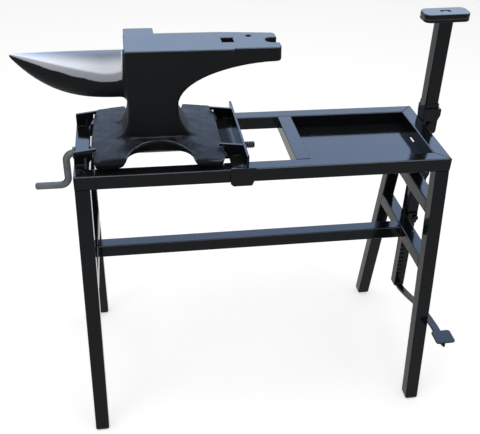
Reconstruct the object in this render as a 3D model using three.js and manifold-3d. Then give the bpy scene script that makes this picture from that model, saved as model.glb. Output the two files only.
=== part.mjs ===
// Anvil stand: a square-tube trestle that clamps an anvil with a crank screw
// and carries a pedal-worked vise on a post at its right end.
// Millimetres, +Z up, +X to the right of someone facing the pedal side.

import * as THREE from 'three';
import { mergeVertices } from 'three/addons/utils/BufferGeometryUtils.js';
import Module from 'manifold-3d';

const wasm = await Module();
wasm.setup();

// Square tube of one and a quarter inches, and clearances
const TUBE = 31.75;
const TUBE_WALL = 2;
const TUBE_CORNER = 3;
const WELD_GAP = 0.3;
const CORNER_STEPS = 3;
const CUT_PAST = 1;

// Trestle
const FRAME_LENGTH = 807;
const FRAME_DEPTH = 264.5;
const FRAME_TOP = 660;
const LEG_SPLAY = 94;
const LEG_SPREAD = 4.5;
const LOW_RUNG_TOP = 398;
const HIGH_RUNG_TOP = 543;
const CROSS_BAR_X = 79;
const TRAY_SHEET = 2;
const TRAY_SLOT = { width: 3, from: 2, to: 27 };
const FOOT_PAD = 8;
const FOOT_ROUND = 6;
const FOOT_PLUG = 13;
const PLUG_PLAY = 0.4;

// Clamp that holds the anvil
const WING_THICK = 6;
const WING_YS = { rear: 94, front: -80 };
const FIXED_WING = [
  [-402, 0.3], [-374, 0.3], [-363.6, 16], [-363.2, 28.5], [-356, 30], [-356, 36], [-402, 30],
];
const GUSSET = { x: -381, thick: 5, leg: 17 };
const JAW_FACE_X = -45;
const ANGLE_LEG = 30;
const ANGLE_FOOT = 44;
const ANGLE_RELIEF = { width: 9, depth: 46 };
const ANGLE_THICK = 5;
const JAW_WING = [[-50.3, 5.6], [-82, 5.6], [-91, 20], [-92.3, 28.5], [-101, 30], [-101, 36], [-50.3, 30]];
const GUIDE_TAB = { left: -83, bottom: -38, thick: 5, chamfer: 6, drop: 16 };
const GUIDE_TAB_RIGHT = { front: -31, rear: -46 };
const TONGUE = { x: -58, thick: 8, half: 30, bottom: -33 };
const SCREW_R = 8;
const SCREW_Z = FRAME_TOP - TUBE / 2;
const SCREW_END_X = -10;
const BORE_PLAY = 0.5;
const COLLAR = { r: 13, length: 6 };
const NUT = { flats: 27, length: 12 };
const CRANK = { armX: -425, bend: 14, drop: 80, gripEnd: -498, chamfer: 2.5 };
const ROD_SIDES = 20;
const BEND_STEPS = 6;

// Anvil, measured from the middle of its own foot
const ANVIL_X = -227;
const ANVIL_FACE = 228.5;
const ANVIL_HALF_WIDTH = 50.5;
const FOOT_RINGS = [[0, 131, 111], [20, 134, 122], [38, 131, 119]];
const FOOT_CORNER = 13;
const FOOT_PLAN_POINTS = 72;
const FOOT_BULGE = { left: 4, right: 1 };
const FOOT_DECK = { edge: 24.5, crown: 33.5, half: 70, reach: 145 };
const FOOT_FILLET = [[33, 80, 57], [39.5, 66, 50.8]];
const FOOT_FILLET_CORNER = 6;
const FOOT_REACH = { by: 6, from: 30, over: 40 };
const FOOT_ARCH = { r: 64.5, y: 126.5, widen: 0.57, sides: 32 };
const FOOT_HOLLOW = { half: 95, flat: 64, rise: 14 };
const HORN = { root: -45, start: -62, tip: -284, r: 47.5, top: 211, taper: 0.94, rings: 14, sides: 32 };
const HOLE_BOTTOM = 150;
const THROAT_HALF = 20;
const HARDY = { x: 150, y: 3, size: 25 };
const PRITCHEL = { x: 197, y: 24, r: 5.5 };
const HEEL_END = 256;
const HEEL_NOTCH = { x: 242.5, y: -2, r: 13.5 };

// Foot vise
const POST_X = FRAME_LENGTH / 2 + WELD_GAP + TUBE / 2;
const POST_Y = 64;
const POST_BOTTOM = 372;
const POST_LEAN = THREE.MathUtils.degToRad(1.2);
const VISE_JAW = { length: 105, depth: 47, corner: 14, bevel: 1.5, lower: 8, upper: 10, seam: 900.5 };
const ROD_R = 7.5;
const ROD_DROP = 1;
const ROD_NUT = { flats: 19, length: 4, recess: 12, depth: 5.5 };
const BAR = { size: 27, bottom: 149, top: 420 };
const TEETH = { count: 8, first: 191, pitch: 13.6, height: 7, depth: 3.5, width: 13 };
const ARM_PATH = [
  [49.5, 151], [36, 152], [20, 156.5], [-4, 164.5], [-35, 175.5],
  [-74, 190], [-132, 203], [-170, 209], [-192, 211.5], [-236, 212],
];
const ARM = { width: 18, thick: 7, chamfer: 1.5, steps: 26, point: [-250, 209], pointWidth: 4 };
const PEDAL = { x: 423.7, y: -229, length: 47, depth: 41, thick: 5, corner: 6, bevel: 1.2 };
const BRACKETS = { upper: [626, FRAME_TOP], lower: [464, HIGH_RUNG_TOP] };
const BRACKET_RINGS = [[0, 1.5], [6, 3.5], [34, 3.5], [49, 7], [64, 7], [66, 5.5], [66, 1.5], [77, 1.5]];
const BRACKET_CORNER = 1;
const BRACKET_BOLT_RISE = 24;
const BOLT = { flats: 13, head: 5.5, r: 4, play: 0.3, sides: 16 };
const CATCH = { width: 26, thick: 5, bottom: 366, top: 396, lip: 5.5, reach: 50, boltX: 427, boltZ: 383 };

const HALF_LENGTH = FRAME_LENGTH / 2;
const HALF_DEPTH = FRAME_DEPTH / 2;
const RAIL_BOTTOM = FRAME_TOP - TUBE;
const HALF_TUBE = TUBE / 2;

// Finishes
const PAINT = { color: 0x15171a, roughness: 0.25, metalness: 0.1 };
const CAST = { color: 0x2b2f35, roughness: 0.5, metalness: 0.6 };
const STEEL = { color: 0x8d9196, roughness: 0.35, metalness: 0.9 };
const PLASTIC = { color: 0x101112, roughness: 0.7, metalness: 0 };

// A closed skin: positions only, shared corners merged.
function skin(geometry) {
  geometry.deleteAttribute('normal');
  geometry.deleteAttribute('uv');
  return mergeVertices(geometry, 1e-4);
}

function toSolid(geometry) {
  const merged = skin(geometry);
  return new wasm.Manifold(new wasm.Mesh({
    numProp: 3,
    vertProperties: new Float32Array(merged.attributes.position.array),
    triVerts: new Uint32Array(merged.index.array),
  }));
}

function toGeometry(solid) {
  const mesh = solid.getMesh();
  const geometry = new THREE.BufferGeometry();
  geometry.setAttribute('position', new THREE.BufferAttribute(mesh.vertProperties, 3));
  geometry.setIndex(new THREE.BufferAttribute(mesh.triVerts, 1));
  return geometry;
}

function join(...geometries) {
  return toGeometry(geometries.map(toSolid).reduce((a, b) => a.add(b)));
}

function cut(geometry, ...tools) {
  return toGeometry(tools.map(toSolid).reduce((a, b) => a.subtract(b), toSolid(geometry)));
}

function common(geometry, other) {
  return toGeometry(toSolid(geometry).intersect(toSolid(other)));
}

function node(name, geometry, finish) {
  const mesh = new THREE.Mesh(skin(geometry), new THREE.MeshStandardMaterial(finish));
  mesh.geometry.computeVertexNormals();
  mesh.name = name;
  return mesh;
}

// A straight run of one section: place() sends section (u, v) and run w in 0..1 into space.
function prism(section, place, steps = CORNER_STEPS) {
  const run = { depth: 1, bevelEnabled: false, curveSegments: steps };
  const geometry = new THREE.ExtrudeGeometry(section, run);
  const position = geometry.attributes.position;
  for (let i = 0; i < position.count; i += 1) {
    position.setXYZ(i, ...place(position.getX(i), position.getY(i), position.getZ(i)));
  }
  return geometry;
}

function polygon(points) {
  return new THREE.Shape(points.map(([u, v]) => new THREE.Vector2(u, v)));
}

function roundedRect(width, height, radius) {
  const x = width / 2 - radius;
  const y = height / 2 - radius;
  const shape = new THREE.Shape();
  shape.absarc(x, y, radius, 0, Math.PI / 2);
  shape.absarc(-x, y, radius, Math.PI / 2, Math.PI);
  shape.absarc(-x, -y, radius, Math.PI, 1.5 * Math.PI);
  shape.absarc(x, -y, radius, 1.5 * Math.PI, 2 * Math.PI);
  shape.closePath();
  return shape;
}

function tubeSection() {
  const inner = TUBE - 2 * TUBE_WALL;
  const section = roundedRect(TUBE, TUBE, TUBE_CORNER);
  section.holes.push(roundedRect(inner, inner, TUBE_CORNER - TUBE_WALL));
  return section;
}

function hexagon(flats) {
  const r = flats / Math.sqrt(3);
  return polygon(Array.from({ length: 6 }, (_, i) => {
    const t = (i * Math.PI) / 3;
    return [r * Math.cos(t), r * Math.sin(t)];
  }));
}

function circle(r) {
  return new THREE.Path().absarc(0, 0, r, 0, 2 * Math.PI);
}

// Plates standing in the XZ plane, standing in the YZ plane, and lying flat.
function plateXZ(section, yBack, thick) {
  return prism(section, (u, v, w) => [u, yBack - w * thick, v], ROD_SIDES);
}

function plateYZ(section, xLeft, thick) {
  return prism(section, (u, v, w) => [xLeft + w * thick, u, v], ROD_SIDES);
}

function slab(section, zBottom, thick) {
  return prism(section, (u, v, w) => [u, v, zBottom + w * thick], ROD_SIDES);
}

function block(x0, x1, y0, y1, z0, z1) {
  const geometry = new THREE.BoxGeometry(x1 - x0, y1 - y0, z1 - z0);
  return geometry.translate((x0 + x1) / 2, (y0 + y1) / 2, (z0 + z1) / 2);
}

function rodX(x0, x1, y, z, r, sides = ROD_SIDES) {
  const geometry = new THREE.CylinderGeometry(r, r, x1 - x0, sides);
  return geometry.rotateZ(-Math.PI / 2).translate((x0 + x1) / 2, y, z);
}

function rodY(y0, y1, x, z, r, sides = ROD_SIDES) {
  const geometry = new THREE.CylinderGeometry(r, r, y1 - y0, sides);
  return geometry.translate(x, (y0 + y1) / 2, z);
}

function rodZ(z0, z1, x, y, r, sides = ROD_SIDES) {
  const geometry = new THREE.CylinderGeometry(r, r, z1 - z0, sides);
  return geometry.rotateX(Math.PI / 2).translate(x, y, (z0 + z1) / 2);
}

// Skin over a row of convex rings, each running counter-clockwise about the way ahead.
function loft(rings) {
  const count = rings[0].length;
  const positions = rings.flat().flatMap((p) => p.toArray());
  const index = [];
  for (let k = 0; k + 1 < rings.length; k += 1) {
    for (let i = 0; i < count; i += 1) {
      const a = k * count + i;
      const b = k * count + ((i + 1) % count);
      index.push(a, b, b + count, a, b + count, a + count);
    }
  }
  const last = (rings.length - 1) * count;
  for (let i = 1; i + 1 < count; i += 1) {
    index.push(0, i + 1, i, last, last + i, last + i + 1);
  }
  const geometry = new THREE.BufferGeometry();
  geometry.setAttribute('position', new THREE.Float32BufferAttribute(positions, 3));
  geometry.setIndex(index);
  return geometry;
}

function rectRing(halfX, halfY, radius, z, x = 0, y = 0) {
  const outline = roundedRect(2 * halfX, 2 * halfY, radius).getPoints(CORNER_STEPS);
  return outline.slice(0, -1).map((p) => new THREE.Vector3(p.x + x, p.y + y, z));
}

// Straight runs joined by round bends: points with the way ahead at each one.
function bentPath(corners, bend, steps) {
  const path = [{ at: corners[0], ahead: corners[1].clone().sub(corners[0]).normalize() }];
  for (let i = 1; i + 1 < corners.length; i += 1) {
    const before = corners[i].clone().sub(corners[i - 1]).normalize();
    const after = corners[i + 1].clone().sub(corners[i]).normalize();
    const start = corners[i].clone().addScaledVector(before, -bend);
    const centre = start.clone().addScaledVector(after, bend);
    for (let k = 0; k <= steps; k += 1) {
      const t = (k / steps) * (Math.PI / 2);
      const at = centre.clone().addScaledVector(after, -bend * Math.cos(t));
      at.addScaledVector(before, bend * Math.sin(t));
      const ahead = before.clone().multiplyScalar(Math.cos(t)).addScaledVector(after, Math.sin(t));
      path.push({ at, ahead });
    }
  }
  const end = corners.at(-1);
  path.push({ at: end, ahead: end.clone().sub(corners.at(-2)).normalize() });
  return path;
}

// One ring of a section around a path point; side is the level direction across the path.
function pathRing({ at, ahead }, side, outline) {
  const up = ahead.clone().cross(side);
  return outline.map(([u, v]) => at.clone().addScaledVector(side, u).addScaledVector(up, v));
}

function circlePoints(r, sides) {
  return Array.from({ length: sides }, (_, i) => {
    const t = (2 * Math.PI * i) / sides;
    return [r * Math.cos(t), r * Math.sin(t)];
  });
}

// How far a leg has spread at height z, across the depth and along the length.
function splayAt(z) {
  return (LEG_SPLAY * (RAIL_BOTTOM - z)) / RAIL_BOTTOM;
}

function spreadAt(z) {
  return (LEG_SPREAD * (RAIL_BOTTOM - z)) / RAIL_BOTTOM;
}

function longRail(side) {
  return prism(tubeSection(), (u, v, w) => {
    const half = HALF_LENGTH - HALF_TUBE + side * u - WELD_GAP / 2;
    return [(2 * w - 1) * half, side * (HALF_DEPTH - HALF_TUBE) + u, FRAME_TOP - HALF_TUBE + v];
  });
}

function endRail(side) {
  return prism(tubeSection(), (u, v, w) => {
    const half = HALF_DEPTH - HALF_TUBE + side * v - WELD_GAP / 2;
    return [side * (HALF_LENGTH - HALF_TUBE) + v, (2 * w - 1) * half, FRAME_TOP - HALF_TUBE + u];
  });
}

// Middle of a leg at height z.
function legCentre(sideX, sideY, z) {
  const x = sideX * (HALF_LENGTH - HALF_TUBE + spreadAt(z));
  return [x, sideY * (HALF_DEPTH - HALF_TUBE + splayAt(z))];
}

function leg(sideX, sideY) {
  return prism(tubeSection(), (u, v, w) => {
    const z = FOOT_PAD + w * (RAIL_BOTTOM - WELD_GAP - FOOT_PAD);
    const [x, y] = legCentre(sideX, sideY, z);
    return [x + u, y + v, z];
  });
}

// Foot cap: a pad with a round lower edge and a plug that follows the leg's slope inside it.
function footCap(sideX, sideY) {
  const plug = HALF_TUBE - TUBE_WALL - PLUG_PLAY;
  const seat = FOOT_PAD - WELD_GAP;
  const rings = Array.from({ length: CORNER_STEPS + 1 }, (_, k) => {
    const t = (k / CORNER_STEPS) * (Math.PI / 2);
    return [FOOT_ROUND * (1 - Math.cos(t)), HALF_TUBE - FOOT_ROUND * (1 - Math.sin(t))];
  });
  rings.push([seat, HALF_TUBE], [seat, plug], [seat + FOOT_PLUG, plug]);
  return loft(rings.map(([z, half]) => {
    const [x, y] = legCentre(sideX, sideY, z);
    return rectRing(half, half, TUBE_CORNER, z, x, y);
  }));
}

// A tube across the depth, with its ends cut to the slope of the legs it meets.
function rung(side, top) {
  return prism(tubeSection(), (u, v, w) => {
    const z = top - HALF_TUBE + u;
    const half = HALF_DEPTH - TUBE + splayAt(z) - WELD_GAP;
    return [side * (HALF_LENGTH - HALF_TUBE + spreadAt(z)) + v, (2 * w - 1) * half, z];
  });
}

function stretcher() {
  const half = HALF_LENGTH - TUBE + spreadAt(LOW_RUNG_TOP) - WELD_GAP;
  return prism(tubeSection(), (u, v, w) => [(2 * w - 1) * half, u, LOW_RUNG_TOP - HALF_TUBE + v]);
}

function crossBar() {
  const half = HALF_DEPTH - TUBE - WELD_GAP;
  const z = FRAME_TOP - HALF_TUBE;
  return prism(tubeSection(), (u, v, w) => [CROSS_BAR_X + v, (2 * w - 1) * half, z + u]);
}

// Tray floor between the rails, with a short drain slot in its right edge.
function traySheet() {
  const left = CROSS_BAR_X + HALF_TUBE + WELD_GAP;
  const right = HALF_LENGTH - TUBE - WELD_GAP;
  const half = HALF_DEPTH - TUBE - WELD_GAP;
  const slot = right - TRAY_SLOT.width;
  const outline = [[left, -half], [right, -half], [right, TRAY_SLOT.from], [slot, TRAY_SLOT.from]];
  outline.push([slot, TRAY_SLOT.to], [right, TRAY_SLOT.to], [right, half], [left, half]);
  return slab(polygon(outline), RAIL_BOTTOM, TRAY_SHEET);
}

// Wing outlines are given as heights above the rail tops.
function wing(outline, y) {
  const raised = outline.map(([x, rise]) => [x, FRAME_TOP + rise]);
  return plateXZ(polygon(raised), y + WING_THICK / 2, WING_THICK);
}

function gusset(wingY) {
  const y = wingY - WING_THICK / 2 - WELD_GAP;
  const z = FRAME_TOP + WELD_GAP;
  const outline = [[y, z], [y, z + GUSSET.leg], [y - GUSSET.leg, z]];
  return plateYZ(polygon(outline), GUSSET.x, GUSSET.thick);
}

// Moving jaw: an angle across the rails, its foot cut narrower in front of the front wing.
function jawAngle() {
  const foot = FRAME_TOP + WELD_GAP;
  const left = JAW_FACE_X - ANGLE_FOOT;
  const inner = JAW_FACE_X - ANGLE_THICK;
  const outline = [[left, foot], [JAW_FACE_X, foot], [JAW_FACE_X, foot + ANGLE_LEG]];
  outline.push([inner, foot + ANGLE_LEG], [inner, foot + ANGLE_THICK], [left, foot + ANGLE_THICK]);
  const bar = plateXZ(polygon(outline), HALF_DEPTH, FRAME_DEPTH);
  const { width, depth } = ANGLE_RELIEF;
  const front = -HALF_DEPTH;
  const [under, over] = [foot - CUT_PAST, foot + ANGLE_LEG];
  return cut(bar, block(left - CUT_PAST, left + width, front - CUT_PAST, front + depth, under, over));
}

// Guide tab hanging over the outer face of a long rail.
function guideTab(side) {
  const { left, bottom, thick, chamfer, drop } = GUIDE_TAB;
  const right = side > 0 ? GUIDE_TAB_RIGHT.rear : GUIDE_TAB_RIGHT.front;
  const top = FRAME_TOP + WELD_GAP + ANGLE_THICK;
  const low = FRAME_TOP + bottom;
  const outline = [[left, top], [left, low + chamfer], [left + chamfer, low], [right - chamfer, low]];
  outline.push([right, low + drop], [right, top]);
  const near = side * (HALF_DEPTH + WELD_GAP);
  const back = side > 0 ? near + thick : near;
  return plateXZ(polygon(outline), back, thick);
}

function jawTongue() {
  const section = polygon([
    [-TONGUE.half, FRAME_TOP],
    [-TONGUE.half, FRAME_TOP + TONGUE.bottom],
    [TONGUE.half, FRAME_TOP + TONGUE.bottom],
    [TONGUE.half, FRAME_TOP],
  ]);
  const bore = new THREE.Path().absarc(0, SCREW_Z, SCREW_R + BORE_PLAY, 0, 2 * Math.PI);
  section.holes.push(bore);
  return plateYZ(section, TONGUE.x, TONGUE.thick);
}

function ringX(section, bore, x, length) {
  section.holes.push(circle(bore));
  return plateYZ(section, x, length).translate(0, 0, SCREW_Z);
}

function jawNut() {
  return ringX(hexagon(NUT.flats), SCREW_R + BORE_PLAY, TONGUE.x - WELD_GAP - NUT.length, NUT.length);
}

function collar(x) {
  const section = new THREE.Shape();
  section.absarc(0, 0, COLLAR.r, 0, 2 * Math.PI);
  return ringX(section, SCREW_R + WELD_GAP, x, COLLAR.length);
}

function crank(startX) {
  const grip = SCREW_Z - CRANK.drop;
  const corners = [[startX, SCREW_Z], [CRANK.armX, SCREW_Z], [CRANK.armX, grip], [CRANK.gripEnd, grip]];
  const points = corners.map(([x, z]) => new THREE.Vector3(x, 0, z));
  const path = bentPath(points, CRANK.bend, BEND_STEPS);
  const side = new THREE.Vector3(0, 1, 0);
  const round = circlePoints(SCREW_R, ROD_SIDES);
  const tip = circlePoints(SCREW_R - CRANK.chamfer, ROD_SIDES);
  const end = path.pop();
  const shoulder = { at: end.at.clone().addScaledVector(end.ahead, -CRANK.chamfer), ahead: end.ahead };
  const rings = [...path, shoulder].map((p) => pathRing(p, side, round));
  return loft([...rings, pathRing(end, side, tip)]);
}

// Anvil body seen from the front: face, heel underside, waist and flared foot.
function anvilProfile() {
  const shape = new THREE.Shape();
  shape.moveTo(-60, ANVIL_FACE);
  shape.lineTo(-60, 130);
  shape.lineTo(-58.5, 104);
  shape.lineTo(-60, 78);
  shape.quadraticCurveTo(-62, 50, -74, 38);
  shape.lineTo(-74, 30);
  shape.lineTo(72, 30);
  shape.lineTo(72, 38);
  shape.quadraticCurveTo(50, 56, 46, 86);
  shape.lineTo(44.5, 108);
  shape.bezierCurveTo(45.7, 160.3, 136.9, 196.6, HEEL_END, 198.5);
  shape.lineTo(HEEL_END, ANVIL_FACE);
  shape.closePath();
  return shape;
}

// Plan of the body: the heel steps in at the front, tapers at the back and ends in round corners.
function anvilPlan() {
  const shape = new THREE.Shape();
  shape.moveTo(-90, -ANVIL_HALF_WIDTH);
  shape.lineTo(155, -ANVIL_HALF_WIDTH);
  shape.lineTo(159, -46.5);
  shape.lineTo(HEEL_END - 6, -46.5);
  shape.quadraticCurveTo(HEEL_END, -46.5, HEEL_END, -40);
  shape.lineTo(HEEL_END - 1.5, 33);
  shape.quadraticCurveTo(HEEL_END - 1.5, 40, HEEL_END - 8.5, 40.7);
  shape.lineTo(141, ANVIL_HALF_WIDTH);
  shape.lineTo(-90, ANVIL_HALF_WIDTH);
  shape.closePath();
  return shape;
}

function anvilHorn() {
  const rings = Array.from({ length: HORN.rings + 1 }, (_, k) => {
    const u = k / HORN.rings;
    const x = HORN.start + (HORN.tip - HORN.start) * u;
    const r = HORN.r * (1 - HORN.taper * u ** 3);
    return { at: new THREE.Vector3(x, 0, HORN.top - r), r };
  });
  rings.unshift({ at: rings[0].at.clone().setX(HORN.root), r: HORN.r });
  const ahead = new THREE.Vector3(-1, 0, 0);
  const side = new THREE.Vector3(0, 1, 0);
  return loft(rings.map(({ at, r }) => pathRing({ at, ahead }, side, circlePoints(r, HORN.sides))));
}

// Hollow corner between the horn's underside and the waist.
function anvilThroat() {
  const shape = new THREE.Shape();
  shape.moveTo(-50, 140);
  shape.lineTo(-72, 140);
  shape.lineTo(-72, 116);
  shape.quadraticCurveTo(-60, 115, -58, 101);
  shape.lineTo(-50, 101);
  shape.closePath();
  return plateXZ(shape, THROAT_HALF, 2 * THROAT_HALF);
}

function anvilShelf() {
  const outline = [[45, ANVIL_FACE], [45, 176], [50, 176], [83, 207], [83, ANVIL_FACE]];
  return plateYZ(polygon(outline), -60, 62);
}

// Plan of the foot at one height: a rounded rectangle whose sides swell in the middle and whose
// front right corner reaches a little further out.
function footRing(z, halfX, halfY) {
  const outline = roundedRect(2 * halfX, 2 * halfY, FOOT_CORNER).getSpacedPoints(FOOT_PLAN_POINTS);
  return outline.slice(0, -1).map((p) => {
    const bulge = p.x < 0 ? -FOOT_BULGE.left : FOOT_BULGE.right;
    const side = Math.max(0, (Math.abs(p.x) - halfX) / FOOT_CORNER + 1);
    const out = THREE.MathUtils.clamp((p.x - FOOT_REACH.from) / FOOT_REACH.over, 0, 1);
    const y = p.y + FOOT_REACH.by * out * Math.min(0, p.y / halfY);
    return new THREE.Vector3(p.x + bulge * side * (1 - (p.y / halfY) ** 2) ** 2, y, z);
  });
}

// Plan of an arch at one height: half an oval, larger below, drawn on past the edge of the foot.
function archRing(z, side) {
  const below = FOOT_DECK.crown - z;
  const halfX = FOOT_ARCH.r + FOOT_ARCH.widen * below;
  const oval = Array.from({ length: FOOT_ARCH.sides + 1 }, (_, k) => {
    const t = Math.PI * (k / FOOT_ARCH.sides);
    return [halfX * Math.cos(t), FOOT_ARCH.y - FOOT_ARCH.r * Math.sin(t)];
  });
  const past = FOOT_DECK.reach + CUT_PAST;
  const outline = [...oval, [-halfX, past], [halfX, past]];
  const ring = outline.map(([x, y]) => new THREE.Vector3(x, side * y, z));
  return side < 0 ? ring : ring.reverse();
}

// Foot: the deck rises to a crown under the waist, arches are cut in front and behind,
// and the underside is hollow in the middle.
function anvilFoot() {
  const { edge, crown, half, reach } = FOOT_DECK;
  const deck = [[-reach, -CUT_PAST], [reach, -CUT_PAST], [reach, edge]];
  deck.push([half, crown], [-half, crown], [-reach, edge]);
  const base = common(
    loft(FOOT_RINGS.map((ring) => footRing(...ring))),
    plateXZ(polygon(deck), reach, 2 * reach),
  );
  const fillet = loft(FOOT_FILLET.map(([z, halfX, halfY]) => {
    return rectRing(halfX, halfY, FOOT_FILLET_CORNER, z);
  }));
  const arches = [1, -1].map((side) => {
    return loft([-CUT_PAST, FOOT_FILLET[1][0] + CUT_PAST].map((z) => archRing(z, side)));
  });
  const { half: ends, flat, rise } = FOOT_HOLLOW;
  const hollow = [[-ends, -CUT_PAST], [ends, -CUT_PAST], [ends, 0]];
  hollow.push([flat, rise], [-flat, rise], [-ends, 0]);
  return cut(join(base, fillet), ...arches, plateXZ(polygon(hollow), reach, 2 * reach));
}

function anvil() {
  const sides = plateXZ(anvilProfile(), ANVIL_HALF_WIDTH, 2 * ANVIL_HALF_WIDTH);
  const body = common(sides, slab(anvilPlan(), 20, ANVIL_FACE));
  const half = HARDY.size / 2;
  const above = ANVIL_FACE + CUT_PAST;
  const [hardyX, hardyY] = [HARDY.x, HARDY.y];
  const hardy = block(hardyX - half, hardyX + half, hardyY - half, hardyY + half, HOLE_BOTTOM, above);
  const pritchel = rodZ(HOLE_BOTTOM, above, PRITCHEL.x, PRITCHEL.y, PRITCHEL.r);
  const { x, y, r } = HEEL_NOTCH;
  const notch = join(
    rodZ(HOLE_BOTTOM, above, x, y, r),
    block(x, x + 2 * r, y - r, y + r, HOLE_BOTTOM, above),
  );
  const whole = join(body, anvilFoot(), anvilHorn(), anvilThroat(), anvilShelf());
  return cut(whole, hardy, pritchel, notch).translate(ANVIL_X, 0, FRAME_TOP + WELD_GAP);
}

// The post and all it carries tilt inward at the top, about the outer edge of the end rail.
function lean(geometry) {
  const tilted = geometry.translate(-HALF_LENGTH, 0, -FRAME_TOP).rotateY(-POST_LEAN);
  return tilted.translate(HALF_LENGTH, 0, FRAME_TOP);
}

function post() {
  const rise = VISE_JAW.seam - POST_BOTTOM - WELD_GAP;
  return prism(tubeSection(), (u, v, w) => [POST_X + u, POST_Y + v, POST_BOTTOM + w * rise]);
}

function softPlate(length, depth, corner, bevel, x, y, z, thick) {
  const geometry = new THREE.ExtrudeGeometry(roundedRect(length, depth, corner), {
    depth: thick - 2 * bevel,
    bevelThickness: bevel,
    bevelSize: bevel,
    bevelOffset: -bevel,
    bevelSegments: 2,
    curveSegments: 5,
  });
  return geometry.translate(x, y, z + bevel);
}

function visePlate(z, thick) {
  const { length, depth, corner, bevel } = VISE_JAW;
  const plate = softPlate(length, depth, corner, bevel, POST_X, POST_Y, z, thick);
  return cut(plate, rodZ(z - CUT_PAST, z + thick + CUT_PAST, POST_X, POST_Y, ROD_R + BORE_PLAY));
}

const UPPER_JAW_Z = VISE_JAW.seam + VISE_JAW.lower + WELD_GAP;
const UPPER_JAW_TOP = UPPER_JAW_Z + VISE_JAW.upper;
const RECESS_FLOOR = UPPER_JAW_TOP - ROD_NUT.depth;

function upperViseJaw() {
  const recess = rodZ(RECESS_FLOOR, UPPER_JAW_TOP + CUT_PAST, POST_X, POST_Y, ROD_NUT.recess);
  return cut(visePlate(UPPER_JAW_Z, VISE_JAW.upper), recess);
}

function rodNut() {
  const section = hexagon(ROD_NUT.flats);
  section.holes.push(circle(ROD_R + WELD_GAP));
  return slab(section, RECESS_FLOOR + WELD_GAP, ROD_NUT.length).translate(POST_X, POST_Y, 0);
}

function pullRod() {
  return rodZ(BAR.top + WELD_GAP, UPPER_JAW_TOP - ROD_DROP, POST_X, POST_Y, ROD_R);
}

// Toothed bar: square bar with saw notches across the left half of its front face.
function toothedBar() {
  const half = BAR.size / 2;
  const left = POST_X - half;
  const front = POST_Y - half;
  const bar = block(left, POST_X + half, front, POST_Y + half, BAR.bottom, BAR.top);
  const notches = Array.from({ length: TEETH.count }, (_, i) => {
    const z = TEETH.first + i * TEETH.pitch;
    const open = front - CUT_PAST;
    const outline = [[open, z + TEETH.height], [open, z], [front + TEETH.depth, z]];
    return plateYZ(polygon(outline), left - CUT_PAST, TEETH.width + CUT_PAST);
  });
  return cut(bar, ...notches);
}

function pedalArm() {
  const curve = new THREE.CatmullRomCurve3(ARM_PATH.map(([y, z]) => new THREE.Vector3(POST_X, y, z)));
  const side = new THREE.Vector3(1, 0, 0);
  const section = rectRing(ARM.width / 2, ARM.thick / 2, ARM.chamfer, 0).map((p) => [p.x, p.y]);
  const rings = Array.from({ length: ARM.steps + 1 }, (_, k) => {
    const u = k / ARM.steps;
    return pathRing({ at: curve.getPointAt(u), ahead: curve.getTangentAt(u) }, side, section);
  });
  const narrow = section.map(([u, v]) => [(u * ARM.pointWidth) / ARM.width, v]);
  const point = { at: new THREE.Vector3(POST_X, ...ARM.point), ahead: curve.getTangentAt(1) };
  return loft([...rings, pathRing(point, side, narrow)]);
}

function pedal() {
  const z = ARM_PATH.at(-1)[1] + ARM.thick / 2 + WELD_GAP;
  return softPlate(PEDAL.length, PEDAL.depth, PEDAL.corner, PEDAL.bevel, PEDAL.x, PEDAL.y, z, PEDAL.thick);
}

// Saddle bracket: a shell round three sides of the post, widening upward, with a bolt hole in front.
// Its open side reaches the rail or rung whose top is at railTop.
function bracket(bottom, railTop) {
  const tilt = (FRAME_TOP - railTop) * Math.tan(POST_LEAN);
  const left = HALF_LENGTH + WELD_GAP + spreadAt(railTop - TUBE) - tilt;
  const fit = HALF_TUBE + WELD_GAP;
  const shell = loft(BRACKET_RINGS.map(([rise, wall]) => {
    const right = POST_X + fit + wall;
    const middle = (left + right) / 2;
    return rectRing((right - left) / 2, fit + wall, BRACKET_CORNER, bottom + rise, middle, POST_Y);
  }));
  const top = bottom + BRACKET_RINGS.at(-1)[0] + CUT_PAST;
  const front = POST_Y - fit;
  const pocket = block(left - CUT_PAST, POST_X + fit, front, POST_Y + fit, bottom - CUT_PAST, top);
  const z = bottom + BRACKET_BOLT_RISE;
  const hole = rodY(front - TUBE, front + CUT_PAST, POST_X, z, BOLT.r + BOLT.play, BOLT.sides);
  return cut(shell, pocket, hole);
}

// Hexagon bolt along Y with its head in front of yHead and its tip at yTip.
function hexBolt(x, z, yHead, yTip) {
  const head = plateXZ(hexagon(BOLT.flats), yHead, BOLT.head).translate(x, 0, z);
  return join(head, rodY(yHead - CUT_PAST, yTip, x, z, BOLT.r, BOLT.sides));
}

function bracketBolt(bottom) {
  const face = POST_Y - HALF_TUBE - WELD_GAP;
  const wall = BRACKET_RINGS[1][1];
  return hexBolt(POST_X, bottom + BRACKET_BOLT_RISE, face - wall - WELD_GAP, face);
}

// Catch under the post's front wall that the bar's notches hook on.
function catchPlate() {
  const back = POST_Y - HALF_TUBE - WELD_GAP;
  const front = back - CATCH.thick;
  const lip = CATCH.bottom + CATCH.lip;
  const outline = [[front, CATCH.bottom], [CATCH.reach, CATCH.bottom], [CATCH.reach, lip]];
  outline.push([back, lip], [back, CATCH.top], [front, CATCH.top]);
  const plate = plateYZ(polygon(outline), POST_X - CATCH.width / 2, CATCH.width);
  const [from, to] = [front - CUT_PAST, back + CUT_PAST];
  return cut(plate, rodY(from, to, CATCH.boltX, CATCH.boltZ, BOLT.r + BOLT.play, BOLT.sides));
}

function catchBolt() {
  const back = POST_Y - HALF_TUBE - WELD_GAP;
  return hexBolt(CATCH.boltX, CATCH.boltZ, back - CATCH.thick - WELD_GAP, back);
}

const stand = new THREE.Group();
stand.name = 'anvil_stand';

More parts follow.
